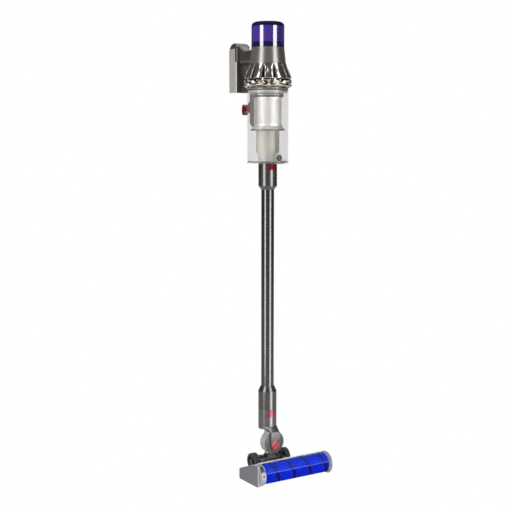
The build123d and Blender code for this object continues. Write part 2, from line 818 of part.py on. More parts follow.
with BuildPart() as wand_lower_collar:
    revolve(
        turned(
            (TUBE_R, LOWER_COLLAR_TOP + LOWER_CONE_STEP),
            (COLLAR_SHOULDER, LOWER_COLLAR_TOP + LOWER_CONE_STEP),
            (COLLAR_R, LOWER_COLLAR_TOP),
            (COLLAR_R, NECK_TOP + GAP),
            (INLET_BORE_R, NECK_TOP + GAP),
            (INLET_BORE_R, NECK_TOP + SPIGOT_LENGTH + 6),
            (AIRWAY_R, NECK_TOP + SPIGOT_LENGTH + 6),
            (AIRWAY_R, TUBE_BASE),
            (TUBE_R, TUBE_BASE),
        ),
        axis=SPINE,
    )
finish(wand_lower_collar, "wand_lower_collar")

with BuildPart() as wand_cable:
    with BuildSketch(level(TUBE_BASE + 6, TUBE_R - TUBE_WALL - CABLE_R - 0.1)):
        Circle(CABLE_R)
    extrude(amount=560)
finish(wand_cable, "wand_cable")

# Neck: a collar that plugs into the wand, brought forward into a fork round the swivel drum
CLIP_LOW = 150.0
CLIP_HIGH = 168.0
CLIP_HALF = 11.5
FORK_FRONT = DRUM_FRONT - GAP - FORK_PLATE
FORK_REAR = DRUM_BACK + GAP + FORK_PLATE
FORK_MIDDLE = (FORK_FRONT + FORK_REAR) / 2
SADDLE_TOP = 109.0
SADDLE_BASE = 98.0
SADDLE_CLEAR_R = DRUM_R + 0.7

with BuildPart() as neck_socket:
    with BuildSketch(level(NECK_BASE)):
        Circle(COLLAR_R)
    extrude(amount=NECK_TOP - NECK_BASE)
    with BuildSketch(level(NECK_TOP)):
        Circle(SPIGOT_R)
    extrude(amount=SPIGOT_LENGTH)
    with BuildSketch(level(NECK_FLARE)):
        Circle(COLLAR_R - 0.5)
    with BuildSketch(level(SADDLE_TOP, FORK_MIDDLE)):
        RectangleRounded(2 * FORK_HALF, FORK_REAR - FORK_FRONT, 5)
    loft()
    with BuildSketch(level(SADDLE_TOP, FORK_MIDDLE)):
        RectangleRounded(2 * FORK_HALF, FORK_REAR - FORK_FRONT, 5)
    extrude(amount=SADDLE_BASE - SADDLE_TOP)
    for back, depth in ((FORK_FRONT, FORK_PLATE), (DRUM_BACK + GAP, FORK_PLATE)):
        with BuildSketch(facing(back + depth, 0)):
            with BuildLine():
                plate_r = PIVOT_CAP_R + 2
                Polyline((-FORK_HALF, SADDLE_BASE + 6), (FORK_HALF, SADDLE_BASE + 6), (plate_r, CAP_HEIGHT))
                ThreePointArc((plate_r, CAP_HEIGHT), (0, CAP_HEIGHT - plate_r), (-plate_r, CAP_HEIGHT))
                Line((-plate_r, CAP_HEIGHT), (-FORK_HALF, SADDLE_BASE + 6))
            make_face()
        extrude(amount=depth)
    with BuildSketch(facing(DRUM_BACK + GAP, ROLL_HEIGHT)):
        Circle(SADDLE_CLEAR_R)
    extrude(amount=DRUM_BACK - DRUM_FRONT + 2 * GAP, mode=Mode.SUBTRACT)
    with BuildSketch(facing(FORK_REAR + 1, ROLL_HEIGHT)):
        Circle(PIVOT_R)
    extrude(amount=FORK_REAR - FORK_FRONT + 2, mode=Mode.SUBTRACT)
    with BuildSketch(level(NECK_BASE - 6)):
        Circle(AIRWAY_R)
    extrude(amount=NECK_TOP + SPIGOT_LENGTH - NECK_BASE + 6, mode=Mode.SUBTRACT)
    with BuildSketch(facing(-20, (CLIP_LOW + CLIP_HIGH) / 2)):
        Rectangle(2 * CLIP_HALF + 0.8, CLIP_HIGH - CLIP_LOW + 0.8)
    extrude(amount=12, mode=Mode.SUBTRACT)
finish(neck_socket, "neck_socket")

with BuildPart() as head_clip:
    with BuildSketch(facing(-22.6, (CLIP_LOW + CLIP_HIGH) / 2)):
        RectangleRounded(2 * CLIP_HALF, CLIP_HIGH - CLIP_LOW, 2)
    extrude(amount=10)
    with BuildSketch(level(CLIP_LOW - 1)):
        Circle(COLLAR_R + 2)
    extrude(amount=CLIP_HIGH - CLIP_LOW + 2, mode=Mode.INTERSECT)
finish(head_clip, "head_clip")

with BuildPart() as pivot_pin:
    with BuildSketch(facing(FORK_REAR, ROLL_HEIGHT)):
        Circle(PIVOT_R)
    extrude(amount=FORK_REAR - FORK_FRONT)
finish(pivot_pin, "pivot_pin")

with BuildPart() as pivot_cap:
    with BuildSketch(facing(FORK_FRONT, CAP_HEIGHT)):
        Circle(PIVOT_CAP_R)
    extrude(amount=3)
    fillet(pivot_cap.faces().sort_by(Axis.Y)[0].edges(), 1.4)
    with BuildSketch(facing(FORK_FRONT - 3, CAP_HEIGHT)):
        SlotOverall(16, 3.2)
    extrude(amount=-1.2, mode=Mode.SUBTRACT)
finish(pivot_cap, "pivot_cap")

# Swivel: the ribbed drum that rolls in the fork, on a stem that carries the wheels' axle
BOSS_HALF = 29.0
BOSS_R = 15.0
STEM_HALF = 16.0
STEM_TOP = 60.0

with BuildPart() as swivel_drum:
    with BuildSketch(facing(DRUM_BACK, ROLL_HEIGHT)):
        Circle(DRUM_R - 1.2)
        with PolarLocations(DRUM_R - 1.2, DRUM_RIBS):
            Rectangle(2.4, 2.4)
    extrude(amount=DRUM_BACK - DRUM_FRONT)
    extrude(
        side_face(
            (DRUM_FRONT + 3, STEM_TOP),
            (DRUM_BACK - 1, STEM_TOP),
            (DRUM_BACK - 1, STEM_TOP - 7),
            (AXLE_BACK + 4, AXLE_HEIGHT + 8),
            (AXLE_BACK, AXLE_HEIGHT),
            (AXLE_BACK - 13, AXLE_HEIGHT),
        ),
        amount=STEM_HALF,
        both=True,
    )
    with BuildSketch(crosswise(-BOSS_HALF, AXLE_BACK, AXLE_HEIGHT)):
        Circle(BOSS_R)
    extrude(amount=2 * BOSS_HALF)
    with BuildSketch(facing(DRUM_BACK + 1, ROLL_HEIGHT)):
        Circle(PIVOT_R + RUNNING)
    extrude(amount=DRUM_BACK - DRUM_FRONT + 2, mode=Mode.SUBTRACT)
    with BuildSketch(crosswise(-BOSS_HALF, AXLE_BACK, AXLE_HEIGHT)):
        Circle(AXLE_R)
    extrude(amount=2 * BOSS_HALF, mode=Mode.SUBTRACT)
finish(swivel_drum, "swivel_drum")

with BuildPart() as wheel_axle:
    with BuildSketch(crosswise(-WHEEL_OUT - 2, AXLE_BACK, AXLE_HEIGHT)):
        Circle(AXLE_R)
    extrude(amount=2 * WHEEL_OUT + 4)
    for side in (-WHEEL_OUT - 2, WHEEL_OUT + GAP):
        with BuildSketch(crosswise(side, AXLE_BACK, AXLE_HEIGHT)):
            Circle(7)
        extrude(amount=2 - GAP)
finish(wheel_axle, "wheel_axle")

SPOKES = 6

for side_name, inner in (("left", -WHEEL_OUT), ("right", WHEEL_IN)):
    with BuildPart() as wheel:
        with BuildSketch(crosswise(inner, AXLE_BACK, AXLE_HEIGHT)):
            Circle(WHEEL_R - 3)
            Circle(WHEEL_R - 6, mode=Mode.SUBTRACT)
        extrude(amount=WHEEL_OUT - WHEEL_IN)
        with BuildSketch(crosswise(inner + 3, AXLE_BACK, AXLE_HEIGHT)):
            Circle(8)
            with PolarLocations(13, SPOKES):
                Rectangle(12, 4)
            Circle(AXLE_R + RUNNING, mode=Mode.SUBTRACT)
        extrude(amount=WHEEL_OUT - WHEEL_IN - 6)
        with BuildSketch(crosswise(inner, AXLE_BACK, AXLE_HEIGHT)):
            Circle(8)
            Circle(AXLE_R + RUNNING, mode=Mode.SUBTRACT)
        extrude(amount=WHEEL_OUT - WHEEL_IN)
    finish(wheel, f"wheel_{side_name}")
    with BuildPart() as tyre:
        with BuildSketch(crosswise(inner, AXLE_BACK, AXLE_HEIGHT)):
            Circle(WHEEL_R)
            Circle(WHEEL_R - 3, mode=Mode.SUBTRACT)
        extrude(amount=WHEEL_OUT - WHEEL_IN)
        fillet(tyre.edges().filter_by(GeomType.CIRCLE).sort_by(SortBy.RADIUS)[-2:], 1.5)
    finish(tyre, f"tyre_{side_name}")

# Floor head: end caps, a cover and a clear window over the roller, a sole, and a bridge back to the axle
COVER_R = ROLLER_R + COVER_GAP
COVER_WALL = 2.4
ARM_IN = 30.0
ARM_OUT = 42.0
CAP_PLATE = 8.0
COVER_REAR = HEAD_REAR - 6
COVER_REAR_TOP = CAP_REAR_TOP - 4
SHOULDER_BACK = ROLLER_BACK + 12
SOLE_BASE = 1.5
SOLE_TOP = 4.0
SOLE_FRONT = -112.0
DUCT_HALF = 60.0
ARM_R = 10.0
STUB_R = 6.0
FASTENER_BACK = -112.0


def cap_face(side, front_top):
    """Side outline of the left end cap: a wedge, low at the rear and upright at the front."""
    with BuildSketch(crosswise(side, 0, 0)) as outline:
        with BuildLine():
            FilletPolyline(
                (CAP_FRONT, SOLE_BASE),
                (CAP_FRONT, front_top),
                (SHOULDER_BACK, front_top - 7),
                (HEAD_REAR, CAP_REAR_TOP),
                (HEAD_REAR, SOLE_BASE),
                radius=6,
                close=True,
            )
        make_face()
    return outline.sketch


def trim_face(side, proud=0.0):
    """Outline of the trims and of the right end cap: a nose round the roller, running back."""
    with BuildSketch(crosswise(side, 0, 0)) as outline:
        with BuildLine():
            Polyline(
                (ROLLER_BACK, ROLLER_HEIGHT + TRIM_R + proud),
                (SHOULDER_BACK, TRIM_SHOULDER + proud),
                (HEAD_REAR - 4 + proud, CAP_REAR_TOP - 4 + proud),
                (HEAD_REAR - 4 + proud, 11),
                (HEAD_REAR - 20, SOLE_BASE),
                (ROLLER_BACK, SOLE_BASE),
                close=True,
            )
        make_face()
        with Locations((ROLLER_BACK, ROLLER_HEIGHT)):
            Circle(TRIM_R + proud)
        with Locations((ROLLER_BACK, SOLE_BASE + 50)):
            Rectangle(200, 100, mode=Mode.INTERSECT)
    return outline.sketch


with BuildPart() as end_cap_left:
    extrude(cap_face(HEAD_LEFT, LEFT_CAP_TOP), amount=CAP_PLATE)
    fillet(end_cap_left.faces().sort_by(Axis.X)[0].edges(), 2.4)
finish(end_cap_left, "end_cap_left")

TRIM_LEFT = ROLLER_LEFT - 0.5
TRIM_RIGHT = ROLLER_RIGHT + 0.5

with BuildPart() as end_trim_left:
    extrude(trim_face(HEAD_LEFT + CAP_PLATE), amount=TRIM_LEFT - HEAD_LEFT - CAP_PLATE)
finish(end_trim_left, "end_trim_left")

with BuildPart() as head_cover:
    with BuildSketch(crosswise(TRIM_LEFT, 0, 0)):
        with BuildLine():
            Polyline(
                (ROLLER_BACK, SOLE_TOP),
                (ROLLER_BACK + 3, ROLLER_HEIGHT + COVER_R + COVER_WALL),
                (ROLLER_BACK + 8, ROLLER_HEIGHT + COVER_R + COVER_WALL),
                (COVER_REAR, COVER_REAR_TOP),
                (COVER_REAR, SOLE_TOP + 5),
                (COVER_REAR - 6, SOLE_TOP),
                close=True,
            )
        make_face()
        with Locations((ROLLER_BACK, ROLLER_HEIGHT)):
            Circle(COVER_R, mode=Mode.SUBTRACT)
        with Locations((SOLE_FRONT - 50, 0)):
            Rectangle(100, 2 * ROLLER_HEIGHT, mode=Mode.SUBTRACT)
    extrude(amount=TRIM_RIGHT - TRIM_LEFT)
    with BuildSketch(crosswise(-DUCT_HALF, 0, 0)):
        with BuildLine():
            duct_end = COVER_REAR - 4
            Polyline((ROLLER_BACK, 12), (ROLLER_BACK, 34), (duct_end, 22), (duct_end, 12), close=True)
        make_face()
    extrude(amount=2 * DUCT_HALF, mode=Mode.SUBTRACT)
finish(head_cover, "head_cover")

with BuildPart() as head_window:
    with BuildSketch(crosswise(TRIM_LEFT, ROLLER_BACK, ROLLER_HEIGHT)):
        with BuildLine():
            outer = CenterArc((0, 0), TRIM_R, WINDOW_START, WINDOW_EDGE - WINDOW_START)
            inner = CenterArc((0, 0), COVER_R, WINDOW_START, WINDOW_EDGE - WINDOW_START)
            Line(outer @ 0, inner @ 0)
            Line(outer @ 1, inner @ 1)
        make_face()
    extrude(amount=TRIM_RIGHT - TRIM_LEFT)
finish(head_window, "head_window")

with BuildPart() as sole_plate:
    with BuildSketch(level(SOLE_BASE, (SOLE_FRONT + COVER_REAR - 8) / 2, (TRIM_LEFT + TRIM_RIGHT) / 2)):
        Rectangle(TRIM_RIGHT - TRIM_LEFT - 2, COVER_REAR - 8 - SOLE_FRONT)
    extrude(amount=SOLE_TOP - SOLE_BASE)
finish(sole_plate, "sole_plate")

with BuildPart() as head_bridge:
    with BuildSketch(crosswise(-ARM_OUT, 0, 0)):
        with BuildLine():
            beam_rear = COVER_REAR + 9
            Polyline(
                (COVER_REAR, 9),
                (COVER_REAR, COVER_REAR_TOP),
                (beam_rear, COVER_REAR_TOP),
                (beam_rear, 11),
                close=True,
            )
        make_face()
    extrude(amount=2 * ARM_OUT)
    for side in (-ARM_OUT, ARM_IN):
        with BuildSketch(crosswise(side, 0, 0)):
            with BuildLine():
                Polyline(
                    (COVER_REAR, 9),
                    (COVER_REAR, COVER_REAR_TOP),
                    (AXLE_BACK, AXLE_HEIGHT + ARM_R),
                    (AXLE_BACK, AXLE_HEIGHT - ARM_R),
                    close=True,
                )
            make_face()
            with Locations((AXLE_BACK, AXLE_HEIGHT)):
                Circle(ARM_R)
                Circle(AXLE_R + RUNNING, mode=Mode.SUBTRACT)
        extrude(amount=ARM_OUT - ARM_IN)
finish(head_bridge, "head_bridge")

# Roller: a plush sleeve on a core that turns about the motor fixed in the left end
with BuildPart() as roller_motor:
    with BuildSketch(crosswise(TRIM_LEFT, ROLLER_BACK, ROLLER_HEIGHT)):
        Circle(CORE_BORE_R - 1.5)
    extrude(amount=105)
finish(roller_motor, "roller_motor")

with BuildPart() as roller_core:
    with BuildSketch(crosswise(ROLLER_LEFT, ROLLER_BACK, ROLLER_HEIGHT)):
        Circle(CORE_R)
        Circle(CORE_BORE_R, mode=Mode.SUBTRACT)
    extrude(amount=ROLLER_RIGHT - ROLLER_LEFT)
    with BuildSketch(crosswise(ROLLER_RIGHT - 14, ROLLER_BACK, ROLLER_HEIGHT)):
        Circle(CORE_BORE_R)
        Circle(STUB_R + RUNNING, mode=Mode.SUBTRACT)
    extrude(amount=12)
finish(roller_core, "roller_core")

with BuildPart() as roller_pile:
    with BuildSketch(crosswise(ROLLER_LEFT + 0.5, ROLLER_BACK, ROLLER_HEIGHT)):
        Circle(ROLLER_R)
        Circle(CORE_R, mode=Mode.SUBTRACT)
    extrude(amount=ROLLER_RIGHT - ROLLER_LEFT - 1)
    fillet(roller_pile.edges().filter_by(GeomType.CIRCLE).sort_by(SortBy.RADIUS)[-2:], 2)
finish(roller_pile, "roller_pile")

with BuildPart() as end_cap_right:
    extrude(trim_face(HEAD_RIGHT - RIGHT_PLATE, RIGHT_CAP_PROUD), amount=RIGHT_PLATE)
    fillet(end_cap_right.faces().sort_by(Axis.X)[-1].edges(), 2)
    with BuildSketch(crosswise(HEAD_RIGHT, FASTENER_BACK, ROLLER_HEIGHT)):
        Circle(FASTENER_R + GAP)
    extrude(amount=-4, mode=Mode.SUBTRACT)
finish(end_cap_right, "end_cap_right")

with BuildPart() as end_trim_right:
    extrude(trim_face(TRIM_RIGHT), amount=HEAD_RIGHT - RIGHT_PLATE - TRIM_RIGHT)
    with BuildSketch(crosswise(TRIM_RIGHT, ROLLER_BACK, ROLLER_HEIGHT)):
        Circle(STUB_R)
    extrude(amount=-15)
finish(end_trim_right, "end_trim_right")

with BuildPart() as cap_fastener:
    with BuildSketch(crosswise(HEAD_RIGHT - 4 + GAP, FASTENER_BACK, ROLLER_HEIGHT)):
        Circle(FASTENER_R)
    extrude(amount=3.7)
    fillet(cap_fastener.faces().sort_by(Axis.X)[-1].edges(), 0.8)
    with BuildSketch(crosswise(HEAD_RIGHT, FASTENER_BACK, ROLLER_HEIGHT)):
        SlotOverall(15, 2.6)
    extrude(amount=-1.8, mode=Mode.SUBTRACT)
finish(cap_fastener, "cap_fastener")
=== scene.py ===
import math

import bmesh
import bpy
from mathutils import Matrix, Vector


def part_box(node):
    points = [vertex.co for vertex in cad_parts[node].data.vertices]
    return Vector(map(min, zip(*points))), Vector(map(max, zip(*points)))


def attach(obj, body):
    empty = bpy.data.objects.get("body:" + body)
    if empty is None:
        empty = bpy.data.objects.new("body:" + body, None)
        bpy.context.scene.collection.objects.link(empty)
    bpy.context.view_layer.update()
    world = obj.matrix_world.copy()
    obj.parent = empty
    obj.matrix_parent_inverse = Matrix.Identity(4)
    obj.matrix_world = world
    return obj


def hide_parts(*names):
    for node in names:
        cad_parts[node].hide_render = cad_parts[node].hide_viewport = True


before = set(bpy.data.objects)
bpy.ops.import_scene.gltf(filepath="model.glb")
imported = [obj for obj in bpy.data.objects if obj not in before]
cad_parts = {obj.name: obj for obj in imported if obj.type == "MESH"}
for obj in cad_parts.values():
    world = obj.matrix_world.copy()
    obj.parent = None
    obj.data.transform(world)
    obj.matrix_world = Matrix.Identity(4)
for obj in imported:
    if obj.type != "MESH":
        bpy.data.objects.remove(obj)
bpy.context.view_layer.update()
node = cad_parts

# The studio: a plain pale floor, which only throws light back up so that a lowered piece isn't
# hidden, and a dim room. Tall soft boxes in front and behind draw a bright upright streak down each
# round piece, one hangs overhead, and one stands low. The camera is at the photograph's place.
FLOOR_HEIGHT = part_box("tyre_left")[0].z
FLOOR_SIZE = 60
SPINE = (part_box("wand_tube")[0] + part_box("wand_tube")[1]) / 2
CAMERA_PLACE = Vector((-1.580, -2.6004, -0.1208))
CAMERA_TURN = math.radians(-32.14)
CAMERA_TILT = math.radians(90 - 6.51)
FOCAL_LENGTH = 73.82
SENSOR_WIDTH = 36
SOFT_BOXES = {
    "left": {"turn": -44, "wide": 0.85, "low": -0.2, "shine": 7.5, "fill": 10.0},
    "right": {"turn": 50, "wide": 0.95, "low": -2.5, "shine": 7.5, "fill": 4.2},
    "back": {"turn": 180, "wide": 1.3, "low": -0.2, "shine": 1.6, "fill": 4.2},
}
SOFT_BOX_REACH = 2.1
SOFT_BOX_TOP = 3.5
TOP_BOX_WIDE = 2.2
TOP_BOX_RISE = Vector((0, 0, 2.4))
TOP_SHINE = 4.5
LOW_BOX_TURN = math.radians(20)
LOW_BOX_REACH = 1.3
LOW_BOX_WIDE = 0.7
LOW_FILL = 4.2
ROOM_LIGHT = 0.08
FLOOR_SHEEN = 1.0
HORIZON = (-0.32, -0.1)


def linear(red, green, blue):
    """Screen colour from 0 to 255, as the linear colour that a shader's socket takes."""
    shares = [c / 255 for c in (red, green, blue)]
    return (*[c / 12.92 if c < 0.04045 else ((c + 0.055) / 1.055) ** 2.4 for c in shares], 1.0)


class Wire:
    """A node's output. Sums and products of wires add Math nodes, and add() makes any other node."""

    def __init__(self, tree, socket=None):
        self.tree = tree
        self.socket = socket

    def add(self, kind, settings=None, sockets=None, out=0):
        made = self.tree.nodes.new(kind)
        for name, value in (settings or {}).items():
            setattr(made, name, value)
        for name, value in (sockets or {}).items():
            for one in value if isinstance(value, list) else [value]:
                if isinstance(one, Wire):
                    self.tree.links.new(one.socket, made.inputs[name])
                else:
                    made.inputs[name].default_value = one
        return Wire(self.tree, made.outputs[out])

    def also(self, out):
        """Another output of the same node."""
        return Wire(self.tree, self.socket.node.outputs[out])

    def into(self, shader, name):
        self.tree.links.new(self.socket, shader.inputs[name])

    def math(self, operation, *values):
        return self.add("ShaderNodeMath", {"operation": operation}, dict(enumerate(values)))

    def __add__(self, other):
        return self.math("ADD", self, other)

    def __sub__(self, other):
        return self.math("SUBTRACT", self, other)

    def __rsub__(self, other):
        return self.math("SUBTRACT", other, self)

    def __mul__(self, other):
        return self.math("MULTIPLY", self, other)

    __radd__ = __add__
    __rmul__ = __mul__

    def rise(self, start, end):
        """0 where this wire is below start, 1 where it is above end."""
        return self.add("ShaderNodeMapRange", {}, {"Value": self, "From Min": start, "From Max": end})

    def blend(self, low, high):
        """Colour that goes from low to high as this wire goes from 0 to 1."""
        return self.add("ShaderNodeMix", {"data_type": "RGBA"}, {0: self, 6: low, 7: high}, out=2)


bpy.ops.mesh.primitive_plane_add(size=FLOOR_SIZE, location=(0, 0, FLOOR_HEIGHT))
floor = bpy.context.object
floor.name = "studio_floor"
floor_paint = bpy.data.materials.new("pale_floor")
floor_paint.use_nodes = True
floor_shader = floor_paint.node_tree.nodes["Principled BSDF"]
floor_shader.inputs["Base Color"].default_value = linear(200, 200, 200)
floor_shader.inputs["Roughness"].default_value = 0.9
floor_shader.inputs["Specular IOR Level"].default_value = 0.0
floor.data.materials.append(floor_paint)
for rays in ("camera", "glossy", "shadow"):
    setattr(floor, f"visible_{rays}", False)


def soft_box(name, away, facing, wide, tall, radiance, shines):
    """Soft box at a place away from the spine, which shines in glossy pieces or only fills."""
    lamp = bpy.data.lights.new(name, "AREA")
    lamp.shape = "RECTANGLE"
    lamp.size = wide
    lamp.size_y = tall
    lamp.energy = radiance * math.pi * wide * tall
    box = bpy.data.objects.new(name, lamp)
    box.location = SPINE + away
    box.rotation_euler = facing.to_track_quat("Z", "Y").to_euler()
    box.visible_camera = False
    box.visible_diffuse = not shines
    box.visible_glossy = shines
    bpy.context.scene.collection.objects.link(box)


to_camera = (CAMERA_PLACE - SPINE).to_2d().normalized().to_3d()
for side, box in SOFT_BOXES.items():
    facing = Matrix.Rotation(math.radians(box["turn"]), 3, "Z") @ to_camera
    middle = FLOOR_HEIGHT + (box["low"] + SOFT_BOX_TOP) / 2 - SPINE.z
    away = facing * SOFT_BOX_REACH + Vector((0, 0, middle))
    tall = SOFT_BOX_TOP - box["low"]
    for use in ("shine", "fill"):
        soft_box(f"soft_box_{side}_{use}", away, facing, box["wide"], tall, box[use], use == "shine")
facing = Matrix.Rotation(LOW_BOX_TURN, 3, "Z") @ to_camera
away = facing * LOW_BOX_REACH + Vector((0, 0, FLOOR_HEIGHT + LOW_BOX_WIDE / 2 - SPINE.z))
soft_box("soft_box_low_fill", away, facing, LOW_BOX_WIDE, LOW_BOX_WIDE, LOW_FILL, False)
soft_box("soft_box_top", TOP_BOX_RISE, Vector((0, 0, 1)), TOP_BOX_WIDE, TOP_BOX_WIDE, TOP_SHINE, True)

world = bpy.data.worlds.new("studio_air")
world.use_nodes = True
bpy.context.scene.world = world
air = Wire(world.node_tree)
heading = air.add("ShaderNodeSeparateXYZ", {}, {0: air.add("ShaderNodeTexCoord", out="Generated")})
room = heading.also("Z").rise(*HORIZON).blend((FLOOR_SHEEN,) * 3 + (1,), (ROOM_LIGHT,) * 3 + (1,))
seen = air.add("ShaderNodeLightPath")
seen.blend(room, (1, 1, 1, 1)).into(world.node_tree.nodes["Background"], "Color")

view = bpy.data.cameras.new("camera")
view.lens = FOCAL_LENGTH
view.sensor_width = SENSOR_WIDTH
camera = bpy.data.objects.new("camera", view)
camera.location = CAMERA_PLACE
camera.rotation_euler = (CAMERA_TILT, 0, CAMERA_TURN)
bpy.context.scene.collection.objects.link(camera)
bpy.context.scene.camera = camera
bpy.context.scene.view_settings.view_transform = "Standard"

# Filter cap, its lock ring and the pleated paper inside: glossy violet mouldings, the ring darker,
# and the cap darker and matt towards its top. The cap turns out of its bayonet and lifts off with the paper.
CLOUD_SCALE = 24.0
GRAIN_SCALE = 900
GRAIN_DEPTH = 0.0004
ROUGHNESS_DRIFT = 0.3
MATT_ROUGHNESS = 0.75
COAT_ROUGHNESS = 0.08
EDGE_ROUND = 0.0006
CAP_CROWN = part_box("filter_cap")[1].z - 0.0132
CROWN_BLEND = 0.0015


def moulded(
    name, colour, roughness, metallic=0.0, coat=0.0, lacquer=1.5, mottle=0.06, grain=0.04,
    other=None, where=None, matt=False, gloss=0.5,
):
    """Moulded plastic or metal: its colour drifts a little, and a fine grain breaks up the shine.
    Where the mask that where() makes of the place is 1, the piece has its other colour, and no coat
    there if that is matt."""
    made = bpy.data.materials.new(name)
    made.use_nodes = True
    wire = Wire(made.node_tree)
    shader = made.node_tree.nodes["Principled BSDF"]
    place = wire.add("ShaderNodeTexCoord", out="Object")
    cloud = wire.add("ShaderNodeTexNoise", {}, {"Vector": place, "Scale": CLOUD_SCALE, "Detail": 3.0})
    fine = wire.add("ShaderNodeTexNoise", {}, {"Vector": place, "Scale": GRAIN_SCALE, "Detail": 2.0})

    def clouded(tone):
        dark = tuple(c * (1 - 2 * mottle) for c in tone[:3]) + (1,)
        light = tuple(min(1, c * (1 + 2 * mottle)) for c in tone[:3]) + (1,)
        return cloud.blend(dark, light)

    paint = clouded(colour)
    if other:
        side = wire.add("ShaderNodeSeparateXYZ", {}, {0: place})
        mask = where(side, side.also("Y"), side.also("Z"))
        paint = mask.blend(paint, clouded(other))
        if matt:
            (coat * (1 - mask)).into(shader, "Coat Weight")
    paint.into(shader, "Base Color")
    rough = fine * (roughness * ROUGHNESS_DRIFT) + roughness * (1 - ROUGHNESS_DRIFT / 2)
    if matt:
        rough = rough + mask * (MATT_ROUGHNESS - roughness)
    rough.into(shader, "Roughness")
    rounded = wire.add("ShaderNodeBevel", {"samples": 4}, {"Radius": EDGE_ROUND})
    relief = {"Strength": grain, "Distance": GRAIN_DEPTH, "Height": fine, "Normal": rounded}
    wire.add("ShaderNodeBump", {}, relief).into(shader, "Normal")
    shader.inputs["Metallic"].default_value = metallic
    shader.inputs["Specular IOR Level"].default_value = gloss
    shader.inputs["Coat Weight"].default_value = coat
    shader.inputs["Coat Roughness"].default_value = COAT_ROUGHNESS
    shader.inputs["Coat IOR"].default_value = lacquer
    return made


def dress(material, *names):
    """Gives CAD nodes their finish."""
    for name in names:
        node[name].data.materials.clear()
        node[name].data.materials.append(material)


violet = moulded(
    "violet", linear(54, 33, 118), 0.34, coat=1.0, lacquer=2.1, matt=True, gloss=0.05,
    other=linear(12, 6, 52), where=lambda x, y, z: z.rise(CAP_CROWN, CAP_CROWN + CROWN_BLEND),
)
dress(violet, "filter_cap")
dress(moulded("deep_violet", linear(5, 1, 44), 0.12, coat=1.0, lacquer=1.8), "filter_lock_ring")
dress(moulded("filter_paper", linear(226, 222, 212), 0.9, grain=0.3), "filter_media")

# Display: a black ring round a dark clear lens, pressed into the top of the housing, with the
# round mode button standing through the lens.
dress(moulded("display_black", linear(16, 16, 18), 0.2, coat=0.6), "display_bezel")
dress(moulded("display_lens", linear(8, 8, 12), 0.06, coat=1.0, grain=0.0), "display_lens")
dress(moulded("button_grey", linear(150, 150, 154), 0.35), "mode_button")

# Motor housing: a cone of dark nickel-painted plastic. The motor can sits inside it on a rubber
# mount, with the impeller on its shaft.
motor_metal = moulded("motor_metal", linear(176, 178, 180), 0.35, metallic=1.0)
rubber = moulded("rubber", linear(28, 28, 28), 0.75, grain=0.12)
dress(moulded("nickel", linear(110, 107, 104), 0.26, metallic=0.6), "motor_housing", "impeller")
dress(motor_metal, "motor_can")
dress(rubber, "motor_mount")

# Cyclone ring: nickel-painted petals in a ring under the housing, over a crown of flat facets,
# moulded in one with a tapered core, whose darker paint is painted shade in the slots between the
# petals. The bin runner has the rear place.
PETALS = 12
PETAL_STEPS = 33
PETAL_FACE = 0.78
PETAL_SHOULDER = 0.62
CROWN_ROWS = 7
SHARP_ANGLE = math.radians(32)


def recipe(name, *sizes):
    """Geometry Nodes tree with a named input for each size: its wire, and the inputs' wires."""
    tree = bpy.data.node_groups.new(name, "GeometryNodeTree")
    tree.interface.new_socket("Geometry", in_out="INPUT", socket_type="NodeSocketGeometry")
    for size in sizes:
        tree.interface.new_socket(size, in_out="INPUT", socket_type="NodeSocketFloat")
    tree.interface.new_socket("Geometry", in_out="OUTPUT", socket_type="NodeSocketGeometry")
    start = tree.nodes.new("NodeGroupInput")
    return Wire(tree), {size: Wire(tree, start.outputs[size]) for size in sizes}


def cooked(name, result, material, **sizes):
    """Plain mesh that a tree gives for these sizes, with its instances made real."""
    tree = result.tree
    solid = result.add("GeometryNodeRealizeInstances", {}, {"Geometry": result})
    painted = solid.add("GeometryNodeSetMaterial", {}, {"Geometry": solid, "Material": material})
    painted.into(tree.nodes.new("NodeGroupOutput"), 0)
    blank = bpy.data.objects.new(name, bpy.data.meshes.new(name))
    bpy.context.scene.collection.objects.link(blank)
    rule = blank.modifiers.new("rule", "NODES")
    rule.node_group = tree
    for item in tree.interface.items_tree:
        if item.name in sizes:
            rule[item.identifier] = sizes[item.name]
    graph = bpy.context.evaluated_depsgraph_get()
    mesh = bpy.data.meshes.new_from_object(blank.evaluated_get(graph))
    bpy.data.objects.remove(blank)
    return mesh


def fit(name, mesh, body, slot, *replaced, material=None):
    """Puts a mesh on a body and hides the nodes it stands for. Its slot is not used."""
    made = bpy.data.objects.new(name, mesh)
    bpy.context.scene.collection.objects.link(made)
    if material:
        mesh.materials.clear()
        mesh.materials.append(material)
    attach(made, body)
    if replaced:
        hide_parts(*replaced)
    return made


def turned(profile, place=Matrix.Translation((SPINE.x, SPINE.y, 0)), steps=96):
    """Mesh of a closed (radius, height) outline turned about the wand's axis, or another place's."""
    shape = bmesh.new()
    rings = []
    for step in range(steps):
        angle = 2 * math.pi * step / steps
        ring = [(r * math.cos(angle), r * math.sin(angle), h) for r, h in profile]
        rings.append([shape.verts.new(place @ Vector(point)) for point in ring])
    for ring, after in zip(rings, rings[1:] + rings[:1]):
        for low, high in zip(range(len(profile)), [*range(1, len(profile)), 0]):
            shape.faces.new((ring[low], after[low], after[high], ring[high]))
    bmesh.ops.remove_doubles(shape, verts=shape.verts, dist=1e-6)
    bmesh.ops.recalc_face_normals(shape, faces=shape.faces)
    mesh = bpy.data.meshes.new("turned")
    shape.to_mesh(mesh)
    shape.free()
    mesh.shade_smooth()
    mesh.set_sharp_from_angle(angle=SHARP_ANGLE)
    return mesh


